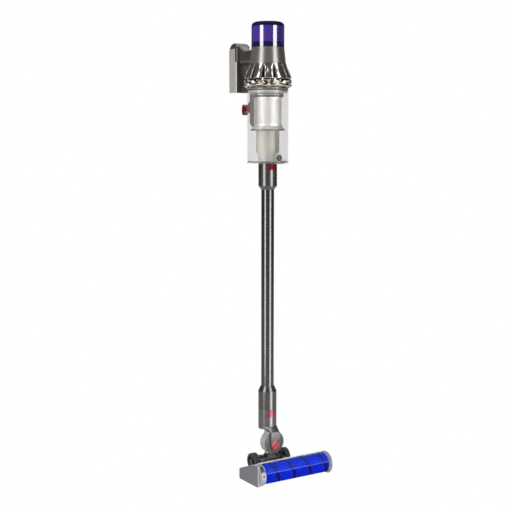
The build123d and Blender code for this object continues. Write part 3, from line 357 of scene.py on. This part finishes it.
shell_low, shell_high = (corner.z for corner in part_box("cyclone_shell"))
wire, size = recipe(
    "cyclone_petals", "foot", "crown", "foot_reach", "crown_reach", "foot_half", "crown_half",
    "arch", "bulge", "dome", "flank",
)
sheet = wire.add("GeometryNodeMeshGrid", {}, {
    "Size X": 2.0, "Vertices X": PETAL_STEPS, "Vertices Y": PETAL_STEPS
})
across = wire.add("ShaderNodeSeparateXYZ", {}, {0: wire.add("GeometryNodeInputPosition")})
up = across.also("Y") + 0.5
closing = up.rise(PETAL_SHOULDER, 1.0)
half = size["foot_half"] + up * (size["crown_half"] - size["foot_half"]) + size["arch"] * closing * closing
belly = size["bulge"] * wire.math("SQRT", up) * (1 - up) * (1 - up)
reach = size["foot_reach"] + up * (size["crown_reach"] - size["foot_reach"]) + belly
flank = wire.add("ShaderNodeMapRange", {"interpolation_type": "SMOOTHSTEP"}, {
    "Value": wire.math("ABSOLUTE", across), "From Min": PETAL_FACE, "From Max": 1.0
})
face = wire.add("ShaderNodeMapRange", {}, {
    "Value": across, "From Min": -PETAL_FACE, "From Max": PETAL_FACE, "To Min": -1.0, "To Max": 1.0
})
bent = wire.add("ShaderNodeCombineXYZ", {}, {
    "X": reach - face * face * size["dome"] - flank * size["flank"],
    "Y": half * face,
    "Z": size["foot"] + up * (size["crown"] - size["foot"]),
})
petal = wire.add("GeometryNodeSetPosition", {}, {"Geometry": sheet, "Position": bent})
petal = wire.add("GeometryNodeSetShadeSmooth", {}, {"Geometry": petal})
turns = wire.add("ShaderNodeCombineXYZ", {}, {
    "Z": (wire.add("GeometryNodeInputIndex") + 1) * (2 * math.pi / PETALS) + math.pi / 2
})
ring = wire.add("GeometryNodeInstanceOnPoints", {}, {
    "Points": wire.add("GeometryNodePoints", {}, {"Count": PETALS - 1}),
    "Instance": petal,
    "Rotation": turns,
})
ring = wire.add("GeometryNodeTransform", {}, {"Geometry": ring, "Translation": (SPINE.x, SPINE.y, 0)})
petals = cooked(
    "cyclone_petals", ring, moulded("bright_nickel", linear(124, 120, 115), 0.12, metallic=0.84),
    foot=shell_low + 0.0245, crown=shell_high - 0.0004, foot_reach=0.0628, crown_reach=0.0512,
    foot_half=0.0122, crown_half=0.0102, arch=0.0036, bulge=0.0150, dome=0.0022, flank=0.010,
)
fit("cyclone_petals", petals, "main_unit", "cyclone_grey", "cyclone_shell")

wire, size = recipe(
    "cyclone_crown", "low", "high", "inner", "hollow", "ridge", "tooth", "setback", "drop"
)
columns = 2 * PETALS - 1
sheet = wire.add("GeometryNodeMeshGrid", {}, {
    "Size X": columns - 1.0, "Size Y": CROWN_ROWS - 1.0, "Vertices X": columns, "Vertices Y": CROWN_ROWS
})
along = wire.add("ShaderNodeSeparateXYZ", {}, {0: wire.add("GeometryNodeInputPosition")})
column = wire.math("ROUND", along + (columns - 1) / 2)
row = wire.math("ROUND", along.also("Y") + (CROWN_ROWS - 1) / 2)


def crown_from(first):
    """1 on the crown's rows from this one up."""
    return row.rise(first - 0.6, first - 0.4)


raised = wire.math("ROUND", wire.math("MODULO", column + row, 2.0))
above_foot = crown_from(2)
top_row = crown_from(CROWN_ROWS - 1)
outside = crown_from(1) * (1 - top_row)
middle = above_foot * (1 - crown_from(CROWN_ROWS - 2))
angle = (column + 1) * (math.pi / PETALS) + math.pi / 2
corner = size["hollow"] + raised * (size["ridge"] - size["hollow"])
edge = size["hollow"] - size["setback"]
radius = size["inner"] + outside * (edge - size["inner"] + middle * (corner - edge))
teeth = size["tooth"] * raised * (1 - above_foot)
share = wire.math("MINIMUM", wire.math("MAXIMUM", row - 1, 0.0) * (1 / (CROWN_ROWS - 3)), 1.0)
bent = wire.add("ShaderNodeCombineXYZ", {}, {
    "X": radius * wire.math("COSINE", angle) + SPINE.x,
    "Y": radius * wire.math("SINE", angle) + SPINE.y,
    "Z": size["low"] + share * (size["high"] - size["low"]) - top_row * size["drop"] + teeth,
})
crown = wire.add("GeometryNodeSetPosition", {}, {"Geometry": sheet, "Position": bent})
crown = wire.add("GeometryNodeTriangulate", {}, {0: crown})
crown = wire.add("GeometryNodeFlipFaces", {}, {0: crown})
crown = wire.add("GeometryNodeSetShadeSmooth", {}, {"Geometry": crown, "Shade Smooth": False})
crown = cooked(
    "cyclone_crown", crown, moulded("facet_nickel", linear(152, 147, 140), 0.08, metallic=1.0, grain=0.0),
    low=shell_low + 0.0004, high=shell_low + 0.0268, inner=0.050, hollow=0.0612, ridge=0.0676,
    tooth=0.0042, setback=0.002, drop=0.004,
)
fit("cyclone_crown", crown, "main_unit", "cyclone_grey")
core = turned([
    (0.048, shell_low), (0.0572, shell_low), (0.0572, shell_low + 0.004), (0.051, shell_low + 0.02),
    (0.0475, shell_high - 0.014), (0.0492, shell_high - 0.007), (0.0501, shell_high - 0.003),
    (0.050, shell_high), (0.046, shell_high), (0.046, shell_low + 0.017),
])
# The core's darker nickel is painted shade in the slots between the petals.
core_painted_shade = moulded("core_painted_shade", linear(52, 49, 47), 0.3, metallic=0.6)
fit("cyclone_core", core, "main_unit", "cyclone_grey", material=core_painted_shade)

# Bin seat and shroud: the grey ring that the bin slides up over has a dark line round it, and carries
# a stamped steel net on a plain dark collar. Air passes through the net's small six-sided holes.
SEAT_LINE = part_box("bin_seat")[1].z - 0.016
SEAT_LINE_HALF = 0.0012
NET_COLUMNS = 64
NET_ROWS = 24
NET_INSET = 0.0002
NET_TUCK = 0.001
NET_WALL = 0.0008
RIM_WIDTH = 0.005
RIM_WALL = 0.0014
ROUND_OFF = 0.1
net_low, net_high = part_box("shroud_mesh")
net_round = (net_high.x - net_low.x) / 2
steel = moulded("shroud_steel", linear(222, 220, 217), 0.5, metallic=0.8)
seat_grey = moulded(
    "seat_grey", linear(178, 176, 174), 0.4, metallic=0.15,
    other=linear(70, 68, 66), where=lambda x, y, z: z.math("COMPARE", z, SEAT_LINE, SEAT_LINE_HALF),
)
dress(seat_grey, "bin_seat")
dress(moulded("collar_dark", linear(64, 62, 60), 0.4), "shroud_collar")
wire, size = recipe("shroud_net", "radius", "low", "high", "hole", "seam")
sheet = wire.add("GeometryNodeMeshGrid", {}, {"Vertices X": NET_COLUMNS + 1, "Vertices Y": NET_ROWS + 1})
along = wire.add("ShaderNodeSeparateXYZ", {}, {0: wire.add("GeometryNodeInputPosition")})
up = along.also("Y") + 0.5
brick = wire.math("FRACT", wire.math("ROUND", up * NET_ROWS) * 0.5 + ROUND_OFF) - ROUND_OFF
angle = (along * NET_COLUMNS + brick) * (2 * math.pi / NET_COLUMNS)
bent = wire.add("ShaderNodeCombineXYZ", {}, {
    "X": size["radius"] * wire.math("COSINE", angle) + SPINE.x,
    "Y": size["radius"] * wire.math("SINE", angle) + SPINE.y,
    "Z": size["low"] + up * (size["high"] - size["low"]),
})
net = wire.add("GeometryNodeSetPosition", {}, {"Geometry": sheet, "Position": bent})
net = wire.add("GeometryNodeMergeByDistance", {}, {"Geometry": net, "Distance": size["seam"]})
net = wire.add("GeometryNodeDualMesh", {}, {"Mesh": wire.add("GeometryNodeTriangulate", {}, {0: net})})
net = wire.add("GeometryNodeExtrudeMesh", {}, {"Mesh": net, "Offset Scale": 0.0, "Individual": True})
inner = net.also("Top")
net = wire.add("GeometryNodeScaleElements", {}, {
    "Geometry": net, "Selection": inner, "Scale": size["hole"]
})
net = wire.add("GeometryNodeDeleteGeometry", {"domain": "FACE"}, {"Geometry": net, "Selection": inner})
net = cooked(
    "shroud_net", net, steel, radius=net_round - NET_INSET,
    low=net_low.z + NET_TUCK, high=net_high.z - NET_TUCK, hole=0.62, seam=0.0003,
)
shroud = fit("shroud_net", net, "main_unit", "shroud_silver", "shroud_mesh")
wall = shroud.modifiers.new("wall", "SOLIDIFY")
wall.thickness = NET_WALL
wall.offset = -1
rim_inside = net_round - RIM_WALL
for end, low in (("low", net_low.z), ("high", net_high.z - RIM_WIDTH)):
    high = low + RIM_WIDTH
    band = turned([(net_round, low), (net_round, high), (rim_inside, high), (rim_inside, low)])
    fit(f"shroud_rim_{end}", band, "main_unit", "shroud_silver", material=steel)

# Shroud skirt, fine-dust collector and inlet duct: pale mouldings hung under the shroud, the skirt
# with a painted shadow along its lower edge, the collector with painted shade down its right side.
# The duct brings in the dusty air.
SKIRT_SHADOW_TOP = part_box("shroud_skirt")[0].z + 0.0035
SKIRT_SHADOW_BLEND = 0.0005
COLLECTOR_SHADE_SIDE = Vector((0.847, -0.532, 0))
COLLECTOR_SHADE_FROM = 0.01843
COLLECTOR_SHADE_FULL = 0.01957


def collector_painted_shade(x, y, z):
    """1 on the collector's right side, where shade is painted."""
    aside = (x - SPINE.x) * COLLECTOR_SHADE_SIDE.x + (y - SPINE.y) * COLLECTOR_SHADE_SIDE.y
    return aside.rise(COLLECTOR_SHADE_FROM, COLLECTOR_SHADE_FULL)


# The skirt's darker lower edge is a painted shadow.
skirt_grey_painted_shadow = moulded(
    "skirt_grey_painted_shadow", linear(206, 204, 200), 0.35, coat=0.2,
    other=linear(84, 82, 78), where=lambda x, y, z: 1 - z.rise(SKIRT_SHADOW_TOP, SKIRT_SHADOW_TOP + SKIRT_SHADOW_BLEND),
)
# The collector's darker right side is painted shade.
collector_beige_painted_shade = moulded(
    "collector_beige_painted_shade", linear(206, 200, 186), 0.4, coat=0.1,
    other=linear(112, 108, 100), where=collector_painted_shade,
)
dress(skirt_grey_painted_shadow, "shroud_skirt")
dress(collector_beige_painted_shade, "dust_collector")
dress(moulded("duct_pale", linear(206, 204, 200), 0.35), "inlet_duct")

# Bin: a clear polycarbonate cylinder that slides down off the seat, with a clear flap hinged at its
# foot on a steel pin and a rubber seal at each end. A dished boss is moulded above the hinge.
HAZE_SCALE = 30.0
HAZE_ROUGHNESS = 0.05
HAZE_DRIFT = 0.2
CLEAR_IOR = 1.55
BOSS_OFFSET = Vector((-0.002, -0.0575, 0.0175))
BOSS_STEPS = 48


def clear(name, colour, density, rough=0.02, coat=0.3):
    """Clear polycarbonate: glassy plastic with a slight body of its own."""
    made = bpy.data.materials.new(name)
    made.use_nodes = True
    wire = Wire(made.node_tree)
    shader = made.node_tree.nodes["Principled BSDF"]
    place = wire.add("ShaderNodeTexCoord", out="Object")
    haze = wire.add("ShaderNodeTexNoise", {}, {"Vector": place, "Scale": HAZE_SCALE, "Detail": 3.0})
    (haze * HAZE_ROUGHNESS + rough).into(shader, "Roughness")
    (haze * (density * HAZE_DRIFT) + density * (1 - HAZE_DRIFT / 2)).into(shader, "Alpha")
    shader.inputs["Base Color"].default_value = colour
    shader.inputs["IOR"].default_value = CLEAR_IOR
    shader.inputs["Coat Weight"].default_value = coat
    return made


pin_steel = moulded("pin_steel", linear(150, 150, 152), 0.3, metallic=1.0)
dress(clear("bin_clear", linear(128, 125, 122), 0.125), "bin_cylinder")
dress(clear("flap_smoke", linear(90, 88, 88), 0.35), "bin_flap")
dress(pin_steel, "flap_pin")
dress(rubber, "bin_seal", "flap_seal")
bin_foot = Vector((SPINE.x, SPINE.y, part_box("bin_cylinder")[0].z))
boss_place = Matrix.Translation(bin_foot + BOSS_OFFSET) @ Matrix.Rotation(math.pi / 2, 4, "X")
boss = turned([
    (0, 0), (0.0082, 0), (0.0082, 0.0028), (0.007, 0.0036), (0.0056, 0.0036), (0.005, 0.0024), (0, 0.002)
], boss_place, BOSS_STEPS)
boss_rim = turned([(0.0088, 0), (0.0112, 0), (0.0108, 0.0026), (0.0092, 0.0026)], boss_place, BOSS_STEPS)
rim_pale = moulded("rim_pale", linear(196, 195, 192), 0.2, coat=0.6)
fit("bin_boss", boss, "bin", "runner_dark", material=moulded("boss_dark", linear(34, 33, 34), 0.35))
fit("bin_boss_rim", boss_rim, "bin", "bin_clear", material=rim_pale)

# Handle: two dark grey half shells screwed together round the control board and trigger switch, with
# a dark trigger under the grip. Behind the grip the shells turn silver, like the battery below.
SILVER_BACK = SPINE.y + 0.136
SILVER_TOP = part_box("handle_left")[1].z - 0.017
SILVER_BLEND = 0.001
silver = linear(164, 160, 156)


def handle_silver(x, y, z):
    """1 on the silver part of the shells, behind and below the grip."""
    behind = y.rise(SILVER_BACK, SILVER_BACK + SILVER_BLEND)
    return behind * (1 - z.rise(SILVER_TOP, SILVER_TOP + SILVER_BLEND))


handle_grey = moulded(
    "handle_grey", linear(52, 48, 46), 0.36, metallic=0.2, other=silver, where=handle_silver
)
screw_zinc = moulded("screw_zinc", linear(120, 120, 122), 0.35, metallic=1.0)
switch_black = moulded("switch_black", linear(24, 24, 24), 0.5)
dress(handle_grey, "handle_left", "handle_right")
dress(screw_zinc, "handle_screws")
dress(moulded("board_green", linear(30, 78, 48), 0.5), "control_board")
dress(switch_black, "trigger_switch")
dress(moulded("trigger_dark", linear(44, 40, 39), 0.35, coat=0.2), "trigger")

# Battery: a silver-painted case on the foot of the handle, held by two screws, with the wrapped
# cells inside it. The case's front face is dark, as painted shade where it faces the main unit.
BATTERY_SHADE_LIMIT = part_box("battery_case")[0].y + 0.003
BATTERY_SHADE_BLEND = 0.0005
# The case's dark front face is painted shade; the rest is its silver paint.
battery_silver = moulded(
    "battery_silver", linear(52, 49, 48), 0.34, metallic=0.2, coat=0.2,
    other=silver, where=lambda x, y, z: y.rise(BATTERY_SHADE_LIMIT, BATTERY_SHADE_LIMIT + BATTERY_SHADE_BLEND),
)
dress(battery_silver, "battery_case")
dress(screw_zinc, "battery_screws")
dress(moulded("cell_wrap", linear(60, 110, 150), 0.4), "battery_cells")

# Bin runner and release lever: the grey moulded rail down the back that guides the bin, and the deep
# crimson lever on it that is pushed down to drop the bin.
dress(moulded("runner_grey", linear(84, 83, 83), 0.35, coat=0.3), "bin_runner")
dress(moulded("deep_crimson", linear(84, 2, 18), 0.3, coat=0.2, gloss=0.2), "bin_lever")

# Wand: a drawn aluminium tube pressed into a nickel-painted collar at each end, with the supply
# cable inside and a crimson release button at the top.
collar_nickel = moulded("collar_nickel", linear(88, 86, 84), 0.24, metallic=0.84, grain=0.0)
dress(moulded("tube_silver", linear(84, 86, 87), 0.18, metallic=0.92, mottle=0.02, grain=0.0), "wand_tube")
dress(collar_nickel, "wand_upper_collar", "wand_lower_collar")
dress(switch_black, "wand_cable")
dress(moulded("button_red", linear(120, 2, 26), 0.4, gloss=0.1), "wand_button")

# Neck and swivel: the grey socket that the wand pushes into, with a crimson clip, ends in a fork
# round the ribbed drum. The drum's ribs are light grey, with painted shade on one flank of each and
# over its front face. The drum rolls on a steel pin under a crimson cap, and its stem is black.
STEM_HEIGHT = FLOOR_HEIGHT + 0.046
STEM_BLEND = 0.001
RIBS = 40
DRUM_ROUND = 0.0325
RIB_FOOT = 0.0006
RIB_CREST = 0.0004
FLANK_PAINTED_SHADE = 0.7
FACE_LIGHT_IN_PAINTED_SHADE = 0.17
drum_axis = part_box("swivel_drum")[1].z - DRUM_ROUND


def drum_light_and_painted_shade(x, y, z):
    """Share of the drum's light colour: most on its ribs, less on one flank of each and little on its front
    face as painted shade, and none on its stem.
    """
    up = z - drum_axis
    rib = (x * x + up * up).rise((DRUM_ROUND - RIB_FOOT) ** 2, (DRUM_ROUND - RIB_CREST) ** 2)
    flank = x.math("SINE", x.math("ARCTAN2", x, up) * RIBS).rise(0.5, 0.7)
    light = rib * (1 - flank * FLANK_PAINTED_SHADE) + (1 - rib) * FACE_LIGHT_IN_PAINTED_SHADE
    return z.rise(STEM_HEIGHT, STEM_HEIGHT + STEM_BLEND) * light


# The dark flank of each rib and the dark front face are painted shade.
drum_grey_painted_shade = moulded(
    "drum_grey_painted_shade", linear(30, 31, 31), 0.3, coat=0.3, other=linear(222, 221, 222), where=drum_light_and_painted_shade
)
dress(moulded("neck_grey", linear(96, 94, 95), 0.28, metallic=0.75), "neck_socket")
dress(moulded("crimson", linear(150, 8, 44), 0.3, coat=0.25), "head_clip")
dress(drum_grey_painted_shade, "swivel_drum")
dress(pin_steel, "pivot_pin")
dress(moulded("pivot_red", linear(206, 68, 86), 0.24, coat=0.6, lacquer=1.8, grain=0.0), "pivot_cap")

# Wheels: dark grey spoked wheels moulded in plastic, each in a black rubber tyre, free on the
# blackened steel axle that the drum's stem carries.
dress(moulded("axle_dark", linear(66, 66, 68), 0.5, metallic=0.5), "wheel_axle")
dress(moulded("wheel_grey", linear(46, 46, 48), 0.4), "wheel_left", "wheel_right")
dress(moulded("tyre_rubber", linear(14, 14, 15), 0.7, grain=0.15), "tyre_left", "tyre_right")

# Floor head: a pale grey cover over the roller with a clear front window, a black bridge and sole,
# and a grey cap at each end over a pale trim, with a painted highlight round the rim of each cap.
# The right cap is held by a turned fastener, and the left trim has a raised pad with a dark port, a
# wedge and a lip.
CAP_HIGHLIGHT_RIM = 0.0004
HOOP_STEP = 4
TRIM_SINK = 0.002
PAD_LEFT, PAD_RIGHT = 0.0006, 0.0012
PAD_HEIGHT, PAD_ARC = 0.0013, (-40, 27)
PORT_MARGIN = 0.004
PORT_HEIGHT, PORT_ARC = 0.00145, (2, 15)
WEDGE_HEIGHT, WEDGE_ARC = 0.0005, (30, 66)
LIP_WIDTH = 0.0011
LIP_HEIGHT, LIP_ARC = 0.0014, (-40, 84)
SILL_GAP = 0.0003
SILL_SINK = 0.0008
SILL_HEIGHT, SILL_ARC = 0.0003, (17.5, 20.5)
dress(moulded("cover_pale", linear(184, 185, 190), 0.22, coat=0.6), "head_cover")
dress(clear("window_clear", linear(40, 80, 230), 0.08, rough=0.3, coat=0.0), "head_window")
dress(moulded("bridge_black", linear(22, 22, 24), 0.4), "head_bridge", "sole_plate")
left_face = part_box("end_cap_left")[0].x + CAP_HIGHLIGHT_RIM
right_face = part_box("end_cap_right")[1].x - CAP_HIGHLIGHT_RIM
# The lighter rim round each cap's outer face is a painted highlight.
end_left_painted_highlight = moulded(
    "end_grey_left_painted_highlight", linear(88, 87, 93), 0.38, coat=0.1, other=linear(136, 135, 139),
    where=lambda x, y, z: x.rise(left_face, left_face + CAP_HIGHLIGHT_RIM),
)
end_right_painted_highlight = moulded(
    "end_grey_right_painted_highlight", linear(90, 89, 95), 0.38, coat=0.1, other=linear(126, 127, 132),
    where=lambda x, y, z: 1 - x.rise(right_face - CAP_HIGHLIGHT_RIM, right_face),
)
dress(end_left_painted_highlight, "end_cap_left")
dress(end_right_painted_highlight, "end_cap_right", "cap_fastener")
dress(moulded("trim_pale", linear(146, 148, 150), 0.35), "end_trim_left", "end_trim_right")
pile_low, pile_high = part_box("roller_pile")
pile_middle = (pile_low + pile_high) / 2
pile_round = (pile_high.z - pile_low.z) / 2
trim_low, trim_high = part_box("end_trim_left")
trim_round = pile_middle.y - trim_low.y


def hoop(left, right, inner, outer, start, end):
    """Mesh of a strip bent round the roller, between two angles up from the front."""
    shape = bmesh.new()
    steps = max(4, round((end - start) / HOOP_STEP))
    rings = []
    for step in range(steps + 1):
        angle = math.radians(start + (end - start) * step / steps)
        ring = []
        for x, radius in ((left, inner), (left, outer), (right, outer), (right, inner)):
            across = Vector((0, -radius * math.cos(angle), radius * math.sin(angle)))
            ring.append(shape.verts.new(Vector((x, pile_middle.y, pile_middle.z)) + across))
        rings.append(ring)
    for ring, after in zip(rings, rings[1:]):
        for one, two in ((0, 1), (1, 2), (2, 3), (3, 0)):
            shape.faces.new((ring[one], after[one], after[two], ring[two]))
    shape.faces.new(rings[0])
    shape.faces.new(reversed(rings[-1]))
    bmesh.ops.recalc_face_normals(shape, faces=shape.faces)
    mesh = bpy.data.meshes.new("hoop")
    shape.to_mesh(mesh)
    shape.free()
    return mesh


def rounded(piece, width):
    """Breaks a piece's edges."""
    bevel = piece.modifiers.new("edges", "BEVEL")
    bevel.width = width
    bevel.segments = 2


trim_sunk = trim_round - TRIM_SINK
pad_left, pad_right = trim_low.x + PAD_LEFT, trim_high.x - PAD_RIGHT
pad = hoop(pad_left, pad_right, trim_sunk, trim_round + PAD_HEIGHT, *PAD_ARC)
pad_pale = moulded("pad_pale", linear(168, 169, 170), 0.3)
rounded(fit("trim_pad", pad, "head", "trim_pale", material=pad_pale), 0.0006)
port = hoop(
    pad_left + PORT_MARGIN, pad_right - PORT_MARGIN, trim_round, trim_round + PORT_HEIGHT, *PORT_ARC
)
fit("trim_port", port, "head", "drum_black", material=moulded("port_dark", linear(44, 44, 46), 0.3))
wedge = hoop(pad_left, pad_right, trim_sunk, trim_round + WEDGE_HEIGHT, *WEDGE_ARC)
fit("trim_wedge", wedge, "head", "drum_black", material=moulded("wedge_dark", linear(60, 60, 62), 0.35))
lip = hoop(trim_high.x - LIP_WIDTH, trim_high.x, trim_sunk, trim_round + LIP_HEIGHT, *LIP_ARC)
lip_white = moulded("lip_white", linear(206, 207, 209), 0.25, coat=0.4)
rounded(fit("trim_lip", lip, "head", "trim_pale", material=lip_white), 0.0004)
sill_left, sill_right = (corner.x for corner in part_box("head_window"))
sill = hoop(
    sill_left + SILL_GAP, sill_right - SILL_GAP, trim_round - SILL_SINK, trim_round + SILL_HEIGHT, *SILL_ARC
)
sill_blue = moulded("sill_blue", linear(74, 104, 236), 0.7)
fit("window_sill", sill, "head", "window_clear", material=sill_blue)

# Roller: a plastic core sleeved in dense blue plush, with a dark strip of stiffer pile wound round
# it in a helix. The motor inside turns it.
PLUSH_SEED = 7
PLUSH_SINK = 0.0024
PLUSH_DENSITY = 400000.0
SLEEVE_ROUND, SLEEVE_ALONG = 128, 96
LUMP_SCALE = 260.0
LUMP_HEIGHT = 0.0006
NAP_SCALE = 420.0
NAP_DEPTH = 0.0008
STRIP_PITCH = 0.0527
STRIP_SHARE = 0.17
STRIP_PHASE = 0.238
TUFT = 0.0021
TUFT_TIP, TUFT_ROOT = 0.0002, 0.0008
TUFT_LEAN = Vector((0.5, 0.5, 3.0))
dress(moulded("roller_core", linear(60, 60, 64), 0.4), "roller_core")
dress(motor_metal, "roller_motor")
plush = bpy.data.materials.new("plush_blue")
plush.use_nodes = True
wire = Wire(plush.node_tree)
plush_shader = plush.node_tree.nodes["Principled BSDF"]
spot = wire.add("ShaderNodeTexCoord", out="Object")
side = wire.add("ShaderNodeSeparateXYZ", {}, {0: spot})
climb = wire.math("ARCTAN2", side.also("Z") - pile_middle.z, pile_middle.y - side.also("Y"))
turn = climb * (0.5 / math.pi) + side * (1 / STRIP_PITCH) + (STRIP_PHASE + STRIP_SHARE / 2)
strip = wire.math("LESS_THAN", wire.math("FRACT", turn), STRIP_SHARE)
nap = wire.add("ShaderNodeTexNoise", {}, {"Vector": spot, "Scale": NAP_SCALE, "Detail": 3.0})
blue = nap.blend(linear(0, 28, 205), linear(4, 62, 255))
maroon = nap.blend(linear(20, 1, 40), linear(50, 5, 66))
strip.blend(blue, maroon).into(plush_shader, "Base Color")
relief = {"Strength": 0.5, "Distance": NAP_DEPTH, "Height": nap}
wire.add("ShaderNodeBump", {}, relief).into(plush_shader, "Normal")
plush_shader.inputs["Roughness"].default_value = 0.9
plush_shader.inputs["Specular IOR Level"].default_value = 0.15
plush_shader.inputs["Sheen Weight"].default_value = 0.5
plush_shader.inputs["Sheen Tint"].default_value = linear(20, 70, 255)

wire, size = recipe("roller_plush", "radius", "length", "lump", "tuft", "tip", "root", "density")
tube = wire.add("GeometryNodeMeshCylinder", {"fill_type": "NONE"}, {
    "Vertices": SLEEVE_ROUND, "Side Segments": SLEEVE_ALONG, "Radius": size["radius"], "Depth": size["length"]
})
sleeve = wire.add("GeometryNodeTransform", {}, {
    "Geometry": tube, "Translation": pile_middle, "Rotation": (0, math.pi / 2, 0)
})
lumps = wire.add("ShaderNodeTexNoise", {}, {"Scale": LUMP_SCALE, "Detail": 2.0})
lift = wire.add("ShaderNodeVectorMath", {"operation": "SCALE"}, {
    0: wire.add("GeometryNodeInputNormal"), "Scale": (lumps - 0.5) * size["lump"]
})
sleeve = wire.add("GeometryNodeSetPosition", {}, {"Geometry": sleeve, "Offset": lift})
points = wire.add("GeometryNodeDistributePointsOnFaces", {}, {
    "Mesh": sleeve, "Density": size["density"], "Seed": PLUSH_SEED
})
lean = wire.add("FunctionNodeRandomValue", {"data_type": "FLOAT_VECTOR"}, {
    0: -TUFT_LEAN, 1: TUFT_LEAN, "Seed": PLUSH_SEED
})
tilt = wire.add("FunctionNodeRotateRotation", {"rotation_space": "LOCAL"}, {
    0: points.also("Rotation"), 1: lean
})
tuft = wire.add("GeometryNodeMeshCone", {"fill_type": "NONE"}, {
    "Vertices": 4, "Radius Top": size["tip"], "Radius Bottom": size["root"], "Depth": size["tuft"]
})
tufts = wire.add("GeometryNodeInstanceOnPoints", {}, {
    "Points": points, "Instance": tuft, "Rotation": tilt
})
pelt = wire.add("GeometryNodeJoinGeometry", {}, {0: [sleeve, tufts]})
pelt = wire.add("GeometryNodeSetShadeSmooth", {}, {"Geometry": pelt})
pelt = cooked(
    "roller_plush", pelt, plush,
    radius=pile_round - PLUSH_SINK, length=pile_high.x - pile_low.x, lump=LUMP_HEIGHT,
    tuft=TUFT, tip=TUFT_TIP, root=TUFT_ROOT, density=PLUSH_DENSITY,
)
fit("roller_plush", pelt, "roller", "pile_blue", "roller_pile")
